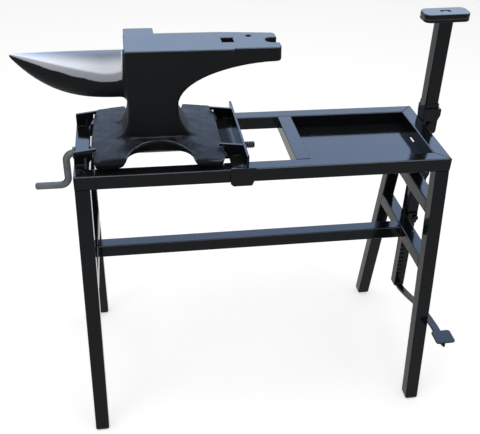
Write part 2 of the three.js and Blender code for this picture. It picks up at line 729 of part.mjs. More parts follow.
const boreEnds = [-HALF_LENGTH - CUT_PAST, -HALF_LENGTH + TUBE + CUT_PAST];
const screwBore = rodX(...boreEnds, 0, SCREW_Z, SCREW_R + BORE_PLAY);
stand.add(node('front_rail', longRail(-1), PAINT));
stand.add(node('rear_rail', longRail(1), PAINT));
stand.add(node('left_end_rail', cut(endRail(-1), screwBore), PAINT));
stand.add(node('right_end_rail', endRail(1), PAINT));
stand.add(node('cross_bar', crossBar(), PAINT));
stand.add(node('tray_sheet', traySheet(), PAINT));
for (const [endName, sideX] of [['left', -1], ['right', 1]]) {
  for (const [faceName, sideY] of [['front', -1], ['rear', 1]]) {
    stand.add(node(`${faceName}_${endName}_leg`, leg(sideX, sideY), PAINT));
    stand.add(node(`${faceName}_${endName}_foot_cap`, footCap(sideX, sideY), PLASTIC));
  }
  stand.add(node(`${endName}_low_rung`, rung(sideX, LOW_RUNG_TOP), PAINT));
}
stand.add(node('right_high_rung', rung(1, HIGH_RUNG_TOP), PAINT));
stand.add(node('stretcher', stretcher(), PAINT));

for (const [name, y] of Object.entries(WING_YS)) {
  stand.add(node(`fixed_wing_${name}`, wing(FIXED_WING, y), PAINT));
  stand.add(node(`fixed_gusset_${name}`, gusset(y), PAINT));
  stand.add(node(`jaw_wing_${name}`, wing(JAW_WING, y), PAINT));
}
stand.add(node('jaw_angle', jawAngle(), PAINT));
stand.add(node('jaw_tab_front', guideTab(-1), PAINT));
stand.add(node('jaw_tab_rear', guideTab(1), PAINT));
stand.add(node('jaw_tongue', jawTongue(), PAINT));
stand.add(node('jaw_nut', jawNut(), STEEL));

const outerCollarX = -HALF_LENGTH - WELD_GAP - COLLAR.length;
const innerCollarX = -HALF_LENGTH + TUBE + WELD_GAP;
const screwStartX = outerCollarX - WELD_GAP;
stand.add(node('clamp_screw', rodX(screwStartX, SCREW_END_X, 0, SCREW_Z, SCREW_R), STEEL));
stand.add(node('outer_collar', collar(outerCollarX), STEEL));
stand.add(node('inner_collar', collar(innerCollarX), STEEL));
stand.add(node('crank', crank(screwStartX - WELD_GAP), STEEL));

stand.add(node('anvil', anvil(), CAST));

stand.add(node('vise_post', lean(post()), PAINT));
stand.add(node('lower_vise_jaw', lean(visePlate(VISE_JAW.seam, VISE_JAW.lower)), PAINT));
stand.add(node('upper_vise_jaw', lean(upperViseJaw()), PAINT));
stand.add(node('rod_nut', lean(rodNut()), PAINT));
stand.add(node('pull_rod', lean(pullRod()), PAINT));
stand.add(node('toothed_bar', lean(toothedBar()), PAINT));
stand.add(node('pedal_arm', lean(pedalArm()), PAINT));
stand.add(node('pedal', lean(pedal()), PAINT));
for (const [name, [bottom, railTop]] of Object.entries(BRACKETS)) {
  stand.add(node(`${name}_bracket`, lean(bracket(bottom, railTop)), PAINT));
  stand.add(node(`${name}_bracket_bolt`, lean(bracketBolt(bottom)), PAINT));
}
stand.add(node('catch_plate', lean(catchPlate()), PAINT));
stand.add(node('catch_bolt', lean(catchBolt()), PAINT));

// Origin on the floor under the middle of the whole object's box.
const box = new THREE.Box3().setFromObject(stand);
stand.position.set(-(box.min.x + box.max.x) / 2, -(box.min.y + box.max.y) / 2, -box.min.z);

export default stand;
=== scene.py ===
# %% [markdown]
# # An anvil stand, dressed for its photograph
# A welded trestle of square tube holds a small shop anvil in a screw clamp, and a pedal-worked
# vise stands on a post at its right end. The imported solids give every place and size. This lesson
# lays smoother surfaces over them, works out their finishes and sets up the studio.

import bmesh
import bpy
import numpy as np
from mathutils import Matrix, Vector


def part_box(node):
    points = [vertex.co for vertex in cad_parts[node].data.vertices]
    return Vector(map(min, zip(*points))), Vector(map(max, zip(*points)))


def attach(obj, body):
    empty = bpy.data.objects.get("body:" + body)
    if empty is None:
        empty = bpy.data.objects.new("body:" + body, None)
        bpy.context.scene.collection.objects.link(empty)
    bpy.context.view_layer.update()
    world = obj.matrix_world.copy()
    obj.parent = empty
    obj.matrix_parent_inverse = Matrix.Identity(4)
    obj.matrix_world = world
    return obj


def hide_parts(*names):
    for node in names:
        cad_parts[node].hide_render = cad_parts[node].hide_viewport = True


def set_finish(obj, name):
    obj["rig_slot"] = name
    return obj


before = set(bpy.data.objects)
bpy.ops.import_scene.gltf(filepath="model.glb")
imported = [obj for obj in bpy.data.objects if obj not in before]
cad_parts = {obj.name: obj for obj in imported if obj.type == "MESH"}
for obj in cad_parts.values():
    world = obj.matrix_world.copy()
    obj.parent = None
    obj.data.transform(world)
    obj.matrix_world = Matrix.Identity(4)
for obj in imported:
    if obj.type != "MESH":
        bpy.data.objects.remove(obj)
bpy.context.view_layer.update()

# %% [markdown]
# ## One set of measures
# A welder works from the middle of the trestle, in millimetres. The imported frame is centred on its
# own box instead, so the front rail tells how far the two differ. It is even about the middle in X,
# and its outer face stands half the trestle's depth in front of it.

# %% Where the trestle's middle lies
TUBE = 31.75
HALF_TUBE = TUBE / 2
WALL = 2.0
TUBE_CORNER = 3.0
GAP = 0.3
HALF_LENGTH = 403.5
HALF_DEPTH = 132.25
TOP = 660.0
RAIL_BOTTOM = TOP - TUBE
MM = 0.001

rail_low, rail_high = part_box("front_rail")
SHIFT = np.array([(rail_low.x + rail_high.x) / 2, rail_low.y + HALF_DEPTH * MM, 0.0])
print("trestle's middle in the row frame:", SHIFT.round(5))

# %% [markdown]
# ## Surfaces from grids
# Every new piece is a grid of points: rings that follow each other along a path. A stack of rings
# closed by two end faces makes a bar or a plate. A loop of rings that comes back to its start makes
# a tube or a nut with a hole. Working with whole arrays keeps the formulas in sight.

# %% Shells from rings
def grid_quads(rows, cols, loop=False):
    """Faces between neighbouring rings; columns always run round, rows do too in a loop."""
    r = np.arange(rows if loop else rows - 1)[:, None]
    c = np.arange(cols)[None, :]
    here, ahead = r * cols, ((r + 1) % rows) * cols
    beside = (c + 1) % cols
    return np.stack([here + c, here + beside, ahead + beside, ahead + c], -1).reshape(-1, 4)


def turn_outward(points, faces):
    """Six times the volume is the sum of a . (b x c) over fans; below zero, faces are reversed."""
    volume = sum((points[f[:, :1]] * np.cross(points[f[:, 1:-1]], points[f[:, 2:]])).sum() for f in faces)
    return faces if volume > 0 else [f[:, ::-1] for f in faces]


def stack(rings, edge=None):
    """Rings (k, m, 3) skinned in order and closed by a face at each end."""
    k, m = rings.shape[:2]
    points = rings.reshape(-1, 3)
    ends = [np.arange(m)[None, ::-1], (k - 1) * m + np.arange(m)[None, :]]
    edge = np.zeros(k * m) if edge is None else np.broadcast_to(edge, (k, m)).reshape(-1)
    return points, turn_outward(points, [grid_quads(k, m)] + ends), edge


def loop(rings, edge=None):
    """Rings (k, m, 3) skinned in order and joined back to the first, as round a tube's wall."""
    k, m = rings.shape[:2]
    points = rings.reshape(-1, 3)
    edge = np.zeros(k * m) if edge is None else np.broadcast_to(edge, (k, m)).reshape(-1)
    return points, turn_outward(points, [grid_quads(k, m, loop=True)]), edge


# %% Pieces from shells
SMOOTH_LIMIT = np.radians(32)
pieces = {}


def fill_mesh(name, shells):
    """One mesh from closed shells given in millimetres from the trestle's middle."""
    points = np.concatenate([s[0] for s in shells])
    starts = np.cumsum([0] + [len(s[0]) for s in shells])
    faces = [row for at, s in zip(starts, shells) for f in s[1] for row in (f + at).tolist()]
    mesh = bpy.data.meshes.new(name)
    mesh.from_pydata((points * MM + SHIFT).tolist(), [], faces)
    edge_mark = mesh.attributes.new("edge", "FLOAT", "POINT")
    edge_mark.data.foreach_set("value", np.concatenate([s[2] for s in shells]).astype(np.float32))
    mesh.shade_smooth()
    mesh.set_sharp_from_angle(angle=SMOOTH_LIMIT)
    return mesh


def add_piece(name, mesh, body, slot, nodes=(), weighted=True):
    """Puts a mesh in the scene, riding on a body, in a finish's slot, in place of CAD nodes."""
    piece = bpy.data.objects.new(name, mesh)
    bpy.context.scene.collection.objects.link(piece)
    if weighted:
        piece.modifiers.new("flat_faces", "WEIGHTED_NORMAL").keep_sharp = True
    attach(piece, body)
    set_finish(piece, slot)
    if nodes:
        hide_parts(*nodes)
    pieces[name] = piece
    return piece


def make(name, body, slot, nodes, *shells):
    piece = add_piece(name, fill_mesh(name, shells), body, slot, nodes)
    print(f"{name}: {len(piece.data.vertices)} points, {len(piece.data.polygons)} faces")
    return piece


# %% [markdown]
# ## Square tube
# The trestle is cut from inch-and-a-quarter square tube with 2 mm walls. A cube would do for its
# outline, but the long round corners carry the bright lines that make painted tube look like tube. So the wall is a
# loop of four rings, outside and inside at both ends, and each ring is a square with quarter-circle
# corners. A place function sends the section and the run along the tube to their spot.

# %% The tube's section and its runs
CORNER_STEPS = 6
SEAM_DEPTH, SEAM_HALF = 1.5, 1.1


def soft_rectangle(half_u, half_v, corner, steps=CORNER_STEPS):
    """Each corner's centre plus corner times (cos t, sin t), t turning a quarter per corner."""
    t = np.linspace(0, np.pi / 2, steps + 1)[None, :] + np.arange(4)[:, None] * np.pi / 2
    side = np.array([[1, 1], [-1, 1], [-1, -1], [1, -1]])
    centre = side * [half_u - corner, half_v - corner]
    return (centre[:, None, :] + corner * np.stack([np.cos(t), np.sin(t)], -1)).reshape(-1, 2)


def corner_wear_and_highlight(steps=CORNER_STEPS):
    """sin 2t over each quarter turn: one in the middle of a corner, nothing on the flats."""
    return np.tile(np.sin(np.linspace(0, np.pi, steps + 1)), 4)


def tube(place, groove=0.0):
    """Wall of a square tube: place(u, v, w) sends the section and the run w in 0..1 into space.
    The groove is the share of the run over which each end is ground down for its seam."""
    outer = soft_rectangle(HALF_TUBE, HALF_TUBE, TUBE_CORNER)
    inner = soft_rectangle(HALF_TUBE - WALL, HALF_TUBE - WALL, TUBE_CORNER - WALL)
    rows = [(outer, groove), (outer, 1 - groove), (inner, 1.0), (inner, 0.0)]
    if groove:
        ground = soft_rectangle(HALF_TUBE - SEAM_DEPTH, HALF_TUBE - SEAM_DEPTH, TUBE_CORNER - SEAM_DEPTH)
        rows[2:2], rows[:0] = [(ground, 1.0)], [(ground, 0.0)]
    rings = [np.stack(np.broadcast_arrays(*place(s[:, 0], s[:, 1], w)), -1) for s, w in rows]
    # Which rings carry the corner mark, later worn paint and a painted highlight.
    wear_and_highlight = np.array([w not in (0.0, 1.0) or not groove and k < 2 for k, (_, w) in enumerate(rows)])
    return loop(np.array(rings), corner_wear_and_highlight() * wear_and_highlight[:, None])


SPLAY = 94.0
SPREAD = 4.5


def splay(z):
    """How far a leg has gone across the depth at height z: nothing under the rail, all at the floor."""
    return SPLAY * (RAIL_BOTTOM - z) / RAIL_BOTTOM


def spread(z):
    """The same along the length, where the legs lean out only a little."""
    return SPREAD * (RAIL_BOTTOM - z) / RAIL_BOTTOM


def leg_centre(side_x, side_y, z):
    x = side_x * (HALF_LENGTH - HALF_TUBE + spread(z))
    return x, side_y * (HALF_DEPTH - HALF_TUBE + splay(z))


# %% [markdown]
# ## The trestle
# Two long rails and two end rails meet in mitres. Four legs spread to the front and back, rungs join
# them in pairs, a stretcher ties the low rungs, and a cross bar parts the clamp's bay from the tray.

# %% Rails, legs, rungs, stretcher and cross bar
FOOT_PAD = 8.0
LOW_RUNG = 398.0
HIGH_RUNG = 543.0
CROSS_BAR = 79.0
MID_RAIL = TOP - HALF_TUBE


def long_rail(side):
    def place(u, v, w):
        half = HALF_LENGTH - HALF_TUBE + side * u - GAP / 2
        return (2 * w - 1) * half, side * (HALF_DEPTH - HALF_TUBE) + u, MID_RAIL + v
    return tube(place, SEAM_HALF / (2 * HALF_LENGTH))


def end_rail(side):
    def place(u, v, w):
        half = HALF_DEPTH - HALF_TUBE + side * v - GAP / 2
        return side * (HALF_LENGTH - HALF_TUBE) + v, (2 * w - 1) * half, MID_RAIL + u
    return tube(place, SEAM_HALF / (2 * HALF_DEPTH))


def leg(side_x, side_y):
    def place(u, v, w):
        z = FOOT_PAD + w * (RAIL_BOTTOM - GAP - FOOT_PAD)
        x, y = leg_centre(side_x, side_y, z)
        return x + u, y + v, z
    return tube(place)


def rung(side, top):
    def place(u, v, w):
        z = top - HALF_TUBE + u
        half = HALF_DEPTH - TUBE + splay(z) - GAP
        return side * (HALF_LENGTH - HALF_TUBE + spread(z)) + v, (2 * w - 1) * half, z
    return tube(place)


def straight(axis, half, centre):
    """A tube run along X or Y, square cut, its middle at centre."""
    def place(u, v, w):
        run = (2 * w - 1) * half
        x, y, z = (run, u, v) if axis == "x" else (v, run, u)
        return centre[0] + x, centre[1] + y, centre[2] + z
    return tube(place)


stretcher_half = HALF_LENGTH - TUBE + spread(LOW_RUNG) - GAP
bar_half = HALF_DEPTH - TUBE - GAP
tubes = {
    "front_rail": long_rail(-1),
    "rear_rail": long_rail(1),
    "right_end_rail": end_rail(1),
    "left_low_rung": rung(-1, LOW_RUNG),
    "right_low_rung": rung(1, LOW_RUNG),
    "right_high_rung": rung(1, HIGH_RUNG),
    "stretcher": straight("x", stretcher_half, (0, 0, LOW_RUNG - HALF_TUBE)),
    "cross_bar": straight("y", bar_half, (CROSS_BAR, 0, MID_RAIL)),
}
LEGS = [("front", "left"), ("front", "right"), ("rear", "left"), ("rear", "right")]
SIDE = {"front": -1, "rear": 1, "left": -1, "right": 1}
for depth, end in LEGS:
    tubes[f"{depth}_{end}_leg"] = leg(SIDE[end], SIDE[depth])
for node, shell in tubes.items():
    make(node + "_tube", "stand", "frame_paint", [node], shell)

# %% [markdown]
# ## Softened copies
# A few solids are cut in ways a grid can't follow, such as the end rail with its screw bore and the
# two saddle castings. Their own meshes are copied and merged; all but the end rail are given a narrow
# rounded edge, so that their corners catch the light as the other pieces' do.

# %% Copies with rounded edges
def merged_copy(node, name):
    """A CAD node's triangles as one welded mesh, with flat neighbours joined into larger faces."""
    shape = bmesh.new()
    shape.from_mesh(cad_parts[node].data)
    bmesh.ops.remove_doubles(shape, verts=shape.verts, dist=1e-5)
    bmesh.ops.dissolve_limit(shape, angle_limit=np.radians(0.5), verts=shape.verts, edges=shape.edges)
    mesh = bpy.data.meshes.new(name)
    shape.to_mesh(mesh)
    shape.free()
    mesh.materials.clear()
    mesh.attributes.new("edge", "FLOAT", "POINT")
    mesh.shade_smooth()
    mesh.set_sharp_from_angle(angle=SMOOTH_LIMIT)
    return mesh


def soften(node, body, slot, width):
    mesh = merged_copy(node, node + "_soft")
    piece = add_piece(node + "_soft", mesh, body, slot, [node], weighted=False)
    if width:
        mesh.set_sharp_from_angle(angle=np.pi)
        rounding = piece.modifiers.new("round_edges", "BEVEL")
        rounding.width = width * MM
        rounding.segments = 2
        rounding.limit_method = "ANGLE"
        rounding.angle_limit = np.radians(35)
    piece.modifiers.new("flat_faces", "WEIGHTED_NORMAL").keep_sharp = True
    print(f"{piece.name}: edges rounded by {width} mm")
    return piece


SOFTENED = [
    ("left_end_rail", "stand", 0), ("jaw_tongue", "jaw_set", 0.8), ("catch_plate", "stand", 0.8),
    ("upper_bracket", "stand", 1.0), ("lower_bracket", "stand", 1.0), ("toothed_bar", "vise_set", 0.7),
]
for node, body, width in SOFTENED:
    soften(node, body, "frame_paint", width)

# %% [markdown]
# ## Plates
# The clamp's wings, gussets, angle, guide tabs and the tray floor are cut from plate. Shears and
# grinders leave such edges slightly round, so a plate is a stack of rings: its outline drawn in by
# r (1 - sin a) while the height climbs by r (1 - cos a), once at each face.

# %% Plates with eased edges
EASE_STEPS = 3


def eased_corners(corners, radius, steps=4):
    """Each corner becomes a curve (1-t)^2 A + 2t(1-t) P + t^2 B that starts radius before it."""
    p = np.array(corners, float)
    back, ahead = np.roll(p, 1, 0) - p, np.roll(p, -1, 0) - p
    a = p + radius * back / np.linalg.norm(back, axis=1)[:, None]
    b = p + radius * ahead / np.linalg.norm(ahead, axis=1)[:, None]
    t = np.linspace(0, 1, steps + 1)[None, :, None]
    curve = (1 - t) ** 2 * a[:, None] + 2 * t * (1 - t) * p[:, None] + t ** 2 * b[:, None]
    return curve.reshape(-1, 2)


def drawn_in(outline, inset):
    """The outline moved inwards along the bisector of its two edge normals at every point."""
    edge = np.roll(outline, -1, 0) - outline
    normal = np.stack([edge[:, 1], -edge[:, 0]], -1) / np.linalg.norm(edge, axis=1)[:, None]
    area = (outline[:, 0] * np.roll(outline[:, 1], -1) - np.roll(outline[:, 0], -1) * outline[:, 1]).sum()
    both = normal + np.roll(normal, 1, 0)
    out = both / (both * both).sum(1)[:, None] * 2
    return outline - np.sign(area) * inset * out


def eased_levels(low, high, radius, steps=EASE_STEPS):
    """(height, inset, edge mark) from the lower face round its edge, up, and onto the upper face."""
    a = np.linspace(0, np.pi / 2, steps + 1)
    rise, inset, edge_mark = radius * (1 - np.cos(a)), radius * (1 - np.sin(a)), np.sin(2 * a)
    heights = np.concatenate([low + rise, high - rise[::-1]])
    return heights, np.concatenate([inset, inset[::-1]]), np.concatenate([edge_mark, edge_mark[::-1]])


def plate(outline, low, high, place, radius=0.8):
    """An outline (m, 2) thickened from low to high with round edges, sent into space by place."""
    heights, insets, edge_mark = eased_levels(low, high, radius)
    flat = np.array([drawn_in(outline, i) for i in insets])
    level = np.broadcast_to(heights[:, None], flat.shape[:2])
    return stack(np.stack(place(flat[..., 0], flat[..., 1], level), -1), edge_mark[:, None])


def upright(u, v, w):
    """Plate seen from the front: outline in X and Z, thickness in Y."""
    return u, w, v


def crosswise(u, v, w):
    """Plate seen from the end: outline in Y and Z, thickness in X."""
    return w, u, v


def flat(u, v, w):
    """Plate lying flat: outline in X and Y, thickness in Z."""
    return u, v, w


# %% [markdown]
# ## The anvil's clamp
# Two wings and gussets are welded to the left end rail. The moving jaw is an angle with two wings of
# its own, guided by tabs that hang over the long rails. The jaw's pieces ride together.

# %% Wings, gussets, angle, tabs and tray floor
WING = 6.0
WING_Y = {"rear": 94.0, "front": -80.0}
FIXED_WING = [(-402, 0.3), (-374, 0.3), (-363.6, 16), (-363.2, 28.5), (-356, 30), (-356, 36), (-402, 30)]
JAW_WING = [(-50.3, 5.6), (-82, 5.6), (-91, 20), (-92.3, 28.5), (-101, 30), (-101, 36), (-50.3, 30)]
GUSSET_LEG = 17.0
GUSSET_X = (-381.0, -376.0)
JAW_X = -45.0
ANGLE_LEG = 30.0
ANGLE_FOOT = 44.0
ANGLE = 5.0
LIP_RADIUS = 0.7


def raised(outline):
    """Heights given above the rail tops."""
    return [(x, TOP + rise) for x, rise in outline]


for depth, y in WING_Y.items():
    low, high = y - WING / 2, y + WING / 2
    fixed = plate(eased_corners(raised(FIXED_WING), 1.2), low, high, upright)
    moving = plate(eased_corners(raised(JAW_WING), 1.2), low, high, upright)
    foot, heel = low - GAP, TOP + GAP
    triangle = [(foot, heel), (foot, heel + GUSSET_LEG), (foot - GUSSET_LEG, heel)]
    gusset = plate(eased_corners(triangle, 1.0), *GUSSET_X, crosswise)
    make(f"fixed_wing_{depth}_plate", "stand", "frame_paint", [f"fixed_wing_{depth}"], fixed)
    make(f"fixed_gusset_{depth}_plate", "stand", "frame_paint", [f"fixed_gusset_{depth}"], gusset)
    make(f"jaw_wing_{depth}_plate", "jaw_set", "frame_paint", [f"jaw_wing_{depth}"], moving)

foot, left, inner = TOP + GAP, JAW_X - ANGLE_FOOT, JAW_X - ANGLE
RELIEF, RELIEF_END, OVERLAP = 9.0, -HALF_DEPTH + 46.0, 1.5
bed = [(left, RELIEF_END), (left + RELIEF, RELIEF_END), (left + RELIEF, -HALF_DEPTH)]
bed += [(inner + OVERLAP, -HALF_DEPTH), (inner + OVERLAP, HALF_DEPTH), (left, HALF_DEPTH)]
wall = [(-HALF_DEPTH, foot), (HALF_DEPTH, foot), (HALF_DEPTH, foot + ANGLE_LEG), (-HALF_DEPTH, foot + ANGLE_LEG)]
shells = [plate(eased_corners(bed, 1.4), foot, foot + ANGLE, flat),
          plate(eased_corners(wall, 1.4), inner, JAW_X, crosswise)]
bar = make("jaw_angle_bar", "jaw_set", "frame_paint", ["jaw_angle"], *shells)
# The far part of the angle's flat leg is marked for painted shade.
painted_shade = bar.data.attributes.new("painted_shade", "FLOAT", "POINT")
painted_shade.data.foreach_set("value", np.concatenate([s[0][:, 0] < inner - 12 for s in shells]).astype(np.float32))

TAB_LEFT, TAB_CHAMFER = -83.0, 6.0
TAB_LOW, TAB_SLOPE, TAB_HIGH = TOP - 38, TOP - 22, TOP + GAP + ANGLE
for depth, side, end in (("front", -1, -31.0), ("rear", 1, -46.0)):
    tab = [(TAB_LEFT, TAB_HIGH), (TAB_LEFT, TAB_LOW + TAB_CHAMFER), (TAB_LEFT + TAB_CHAMFER, TAB_LOW)]
    tab += [(end - TAB_CHAMFER, TAB_LOW), (end, TAB_SLOPE), (end, TAB_HIGH)]
    near, far = sorted((side * (HALF_DEPTH + GAP), side * (HALF_DEPTH + GAP + ANGLE)))
    make(f"jaw_tab_{depth}_plate", "jaw_set", "frame_paint", [f"jaw_tab_{depth}"],
         plate(eased_corners(tab, 1.4), near, far, upright))

SHEET = 2.0
SHEET_REACH = 0.6
SLOT_WIDTH, SLOT_Y = 3.0, (2.0, 27.0)
left, right = CROSS_BAR + HALF_TUBE - SHEET_REACH, HALF_LENGTH - TUBE + SHEET_REACH
half, slot = HALF_DEPTH - TUBE + SHEET_REACH, HALF_LENGTH - TUBE - GAP - SLOT_WIDTH
tray = [(left, -half), (right, -half), (right, SLOT_Y[0]), (slot, SLOT_Y[0]), (slot, SLOT_Y[1])]
tray += [(right, SLOT_Y[1]), (right, half), (left, half)]
make("tray_floor_sheet", "stand", "frame_paint", ["tray_sheet"],
     plate(eased_corners(tray, 0.8), RAIL_BOTTOM, RAIL_BOTTOM + SHEET, flat, 0.3))

# %% [markdown]
# ## Foot caps
# Each leg ends in a black plastic cap, a pad the size of the tube with a plug inside. The pad is a
# stack of soft squares that swell in a quarter round from the floor up to the tube's own outline.

# %% Four caps
CAP_ROUND, CAP_CORNER = 8.0, 5.0
CAP_HALF = HALF_TUBE - 0.15
CAP_SEAT = FOOT_PAD - GAP
PLUG = HALF_TUBE - WALL - 0.4
PLUG_TOP = CAP_SEAT + 13


def foot_cap(side_x, side_y):
    """Soft squares rising by h (1 - cos t) and drawn in by r (1 - sin t), each slid as the leg is."""
    t = np.linspace(0, np.pi / 2, 11)
    heights = np.append(CAP_SEAT * (1 - np.cos(t)), [CAP_SEAT, PLUG_TOP])
    halves = np.append(CAP_HALF - CAP_ROUND * (1 - np.sin(t)), [PLUG, PLUG])
    corners = TUBE_CORNER + np.append(CAP_CORNER * (1 - np.sin(t)), [0, 0])
    rings = np.array([soft_rectangle(h, h, c) for h, c in zip(halves, corners)])
    x, y = leg_centre(side_x, side_y, heights)
    shape = rings.shape[:2]
    return stack(np.stack([rings[..., 0] + x[:, None], rings[..., 1] + y[:, None],
                           np.broadcast_to(heights[:, None], shape)], -1))


for depth, end in LEGS:
    node = f"{depth}_{end}_foot_cap"
    make(node + "_moulding", "stand", "foot_plastic", [node], foot_cap(SIDE[end], SIDE[depth]))

# %% [markdown]
# ## Screw and crank
# The clamp is worked by a 16 mm screw with a 4 mm pitch, whose outer end is bent into a crank from
# the same rod. A thread could be a spiral curve with a profile, but one grid says it better: the
# radius falls and rises with the phase x / pitch - angle / turn. The crank is a circle carried round
# two quarter bends.

# %% Thread and bent rod
SCREW_Z = MID_RAIL
SCREW_R = 8.0
PITCH = 4.0
THREAD_DEPTH = 1.6
COLLAR_X = (-HALF_LENGTH - GAP - 6, -HALF_LENGTH + TUBE + GAP)
SCREW_RUN = (COLLAR_X[0] - GAP, -10.0)
THREAD_FROM = -362.0
ROUND = 40


def turned(x, radius, y=0.0, z=SCREW_Z):
    """Circles of the given radius (k, m) about a line along X."""
    angle = np.linspace(0, 2 * np.pi, ROUND, endpoint=False)[None, :]
    x = np.broadcast_to(np.asarray(x, float)[:, None], (len(x), ROUND))
    radius = np.broadcast_to(radius, x.shape)
    return np.stack([x, y + radius * np.cos(angle), z + radius * np.sin(angle)], -1)


def thread():
    """Radius R - depth (0.5 + 0.5 cos 2 pi phase)^1.3, fading in over two pitches, chamfered end."""
    shank = np.array([SCREW_RUN[0], THREAD_FROM - 0.1])
    cut = np.arange(THREAD_FROM, SCREW_RUN[1] + 0.01, PITCH / 8)
    x = np.concatenate([shank, cut])[:, None]
    angle = np.linspace(0, 1, ROUND, endpoint=False)[None, :]
    fade = np.clip((x - THREAD_FROM) / (2 * PITCH), 0, 1)
    groove = (0.5 + 0.5 * np.cos(2 * np.pi * (x / PITCH - angle))) ** 1.3
    chamfer = np.clip(x - (SCREW_RUN[1] - 2.5), 0, None)
    radius = np.minimum(SCREW_R - THREAD_DEPTH * fade * groove, SCREW_R - chamfer)
    return stack(turned(x[:, 0], radius), fade * groove)


CRANK_START = SCREW_RUN[0] - GAP
CRANK_PATH = np.array([(CRANK_START, SCREW_Z), (-425, SCREW_Z), (-425, SCREW_Z - 80), (-498, SCREW_Z - 80)])
CRANK_BEND = 19.0
CRANK_DOME = 5.0
BEND_STEPS = 14


def crank():
    """Centres run straight, then C - b cos t + a sin t round each bend; a round end closes the grip."""
    runs = np.diff(CRANK_PATH, axis=0)
    ahead = runs / np.linalg.norm(runs, axis=1)[:, None]
    t = np.linspace(0, np.pi / 2, BEND_STEPS + 1)[None, :, None]
    before, after = ahead[:-1, None], ahead[1:, None]
    centre = CRANK_PATH[1:-1, None] + CRANK_BEND * (after - before)
    bends = centre + CRANK_BEND * (before * np.sin(t) - after * np.cos(t))
    facing = before * np.cos(t) + after * np.sin(t)
    dome = np.linspace(0, np.pi / 2, 9)[:-1]
    tip = CRANK_PATH[-1] + CRANK_DOME * ahead[-1] * (np.sin(dome) - 1)[:, None]
    centres = np.concatenate([CRANK_PATH[:1], bends.reshape(-1, 2), tip])
    facing = np.concatenate([ahead[:1], facing.reshape(-1, 2), np.tile(ahead[-1:], (len(dome), 1))])
    radius = np.full(len(centres), SCREW_R)
    radius[-len(dome):] -= CRANK_DOME * (1 - np.cos(dome))
    angle = np.linspace(0, 2 * np.pi, ROUND, endpoint=False)[None, :]
    across = radius[:, None] * np.sin(angle)
    x = centres[:, :1] - facing[:, 1:] * across
    z = centres[:, 1:] + facing[:, :1] * across
    return stack(np.stack([x, radius[:, None] * np.cos(angle), z], -1))


make("clamp_screw_thread", "screw_set", "zinc_steel", ["clamp_screw"], thread())
make("crank_rod", "screw_set", "zinc_steel", ["crank"], crank())

# %% [markdown]
# ## Collars and nuts
# Rings with a hole close on themselves, so each is a loop whose rows run over the outside, across one
# face and back through the bore. A hexagon nut has its corners turned down: every point's radius is
# the lesser of the hexagon's own and a cone's.

# %% Collars on the screw, nut behind the jaw
def ring_rows(levels, outer, bore):
    """Rows (height, radius) over the outside from the first level to the last, then the bore."""
    heights = np.concatenate([levels, [levels[-1], levels[0]]])
    radii = np.concatenate([outer, np.full((2, outer.shape[1]), bore)])
    return heights, radii


def round_collar(x0, x1, radius, bore, ease=0.8):
    levels = np.array([x0, x0 + ease, x1 - ease, x1])
    outer = np.broadcast_to(np.array([radius - ease, radius, radius, radius - ease])[:, None], (4, ROUND))
    return loop(turned(*ring_rows(levels, outer, bore)))


HEX_SIDES = 72


def hexagon_radius(flats, sides=HEX_SIDES):
    """Half the width across flats over the cosine of the angle from the nearest flat's middle."""
    angle = np.linspace(0, 2 * np.pi, sides, endpoint=False)
    off = (angle + np.pi / 6) % (np.pi / 3) - np.pi / 6
    return flats / 2 / np.cos(off)


def hexagon_rows(flats, low, high, both=True, steps=3):
    """Levels and radii of a hexagon whose corners are turned down to a circle at its faces."""
    corner = flats / np.sqrt(3) - flats / 2
    rise = np.linspace(0, 0.45 * corner, steps)
    cone = flats / 2 * 0.97 + rise / 0.45
    top = np.minimum(hexagon_radius(flats)[None, :], cone[:, None])
    levels = np.concatenate([low + rise, high - rise[::-1]])
    base = top if both else np.broadcast_to(hexagon_radius(flats), top.shape)
    return levels, np.concatenate([base, top[::-1]])


def about(axis, heights, radii, centre):
    """Rings of points at the given heights along an axis and radii (k, m) about it."""
    angle = np.linspace(0, 2 * np.pi, radii.shape[1], endpoint=False)[None, :]
    u, v = radii * np.cos(angle), radii * np.sin(angle)
    w = np.broadcast_to(heights[:, None], radii.shape)
    ring = {"x": (w, u, v), "y": (u, w, v), "z": (u, v, w)}[axis]
    return np.stack(ring, -1) + np.array(centre, float)


SCREW_LINE = (0, 0, SCREW_Z)
for which, x in zip(("outer", "inner"), COLLAR_X):
    make(f"{which}_collar_ring", "screw_set", "zinc_steel", [f"{which}_collar"],
         round_collar(x, x + 6, 13.0, SCREW_R + GAP))
nut_rows = ring_rows(*hexagon_rows(27.0, -70.3, -58.3), SCREW_R + 0.5)
make("jaw_nut_hexagon", "jaw_set", "zinc_steel", ["jaw_nut"], loop(about("x", *nut_rows, SCREW_LINE)))

# %% [markdown]
# ## The foot vise
# A post leans a little inwards at its top. On it sit two soft-cornered plates, the vise's jaws. A rod
# runs down inside the post to a toothed bar, and a bent arm carries the pedal forward to the front.
# All of it is worked out upright and then tilted as one.

# %% The lean, and plates with a bore
POST_X = HALF_LENGTH + GAP + HALF_TUBE
POST_Y = 64.0
LEAN = np.radians(1.2)


def lean(shell):
    """Turns points about the outer top edge of the end rail, the top going inwards."""
    x, y, z = (shell[0] - [HALF_LENGTH, 0, TOP]).T
    turned_x = x * np.cos(LEAN) - z * np.sin(LEAN)
    turned_z = x * np.sin(LEAN) + z * np.cos(LEAN)
    return np.stack([turned_x + HALF_LENGTH, y, turned_z + TOP], -1), shell[1], shell[2]


JAW_HALF = (52.5, 23.5)
JAW_CORNER = 14.0
JAW_EDGE = 2.2
BORE = 8.0


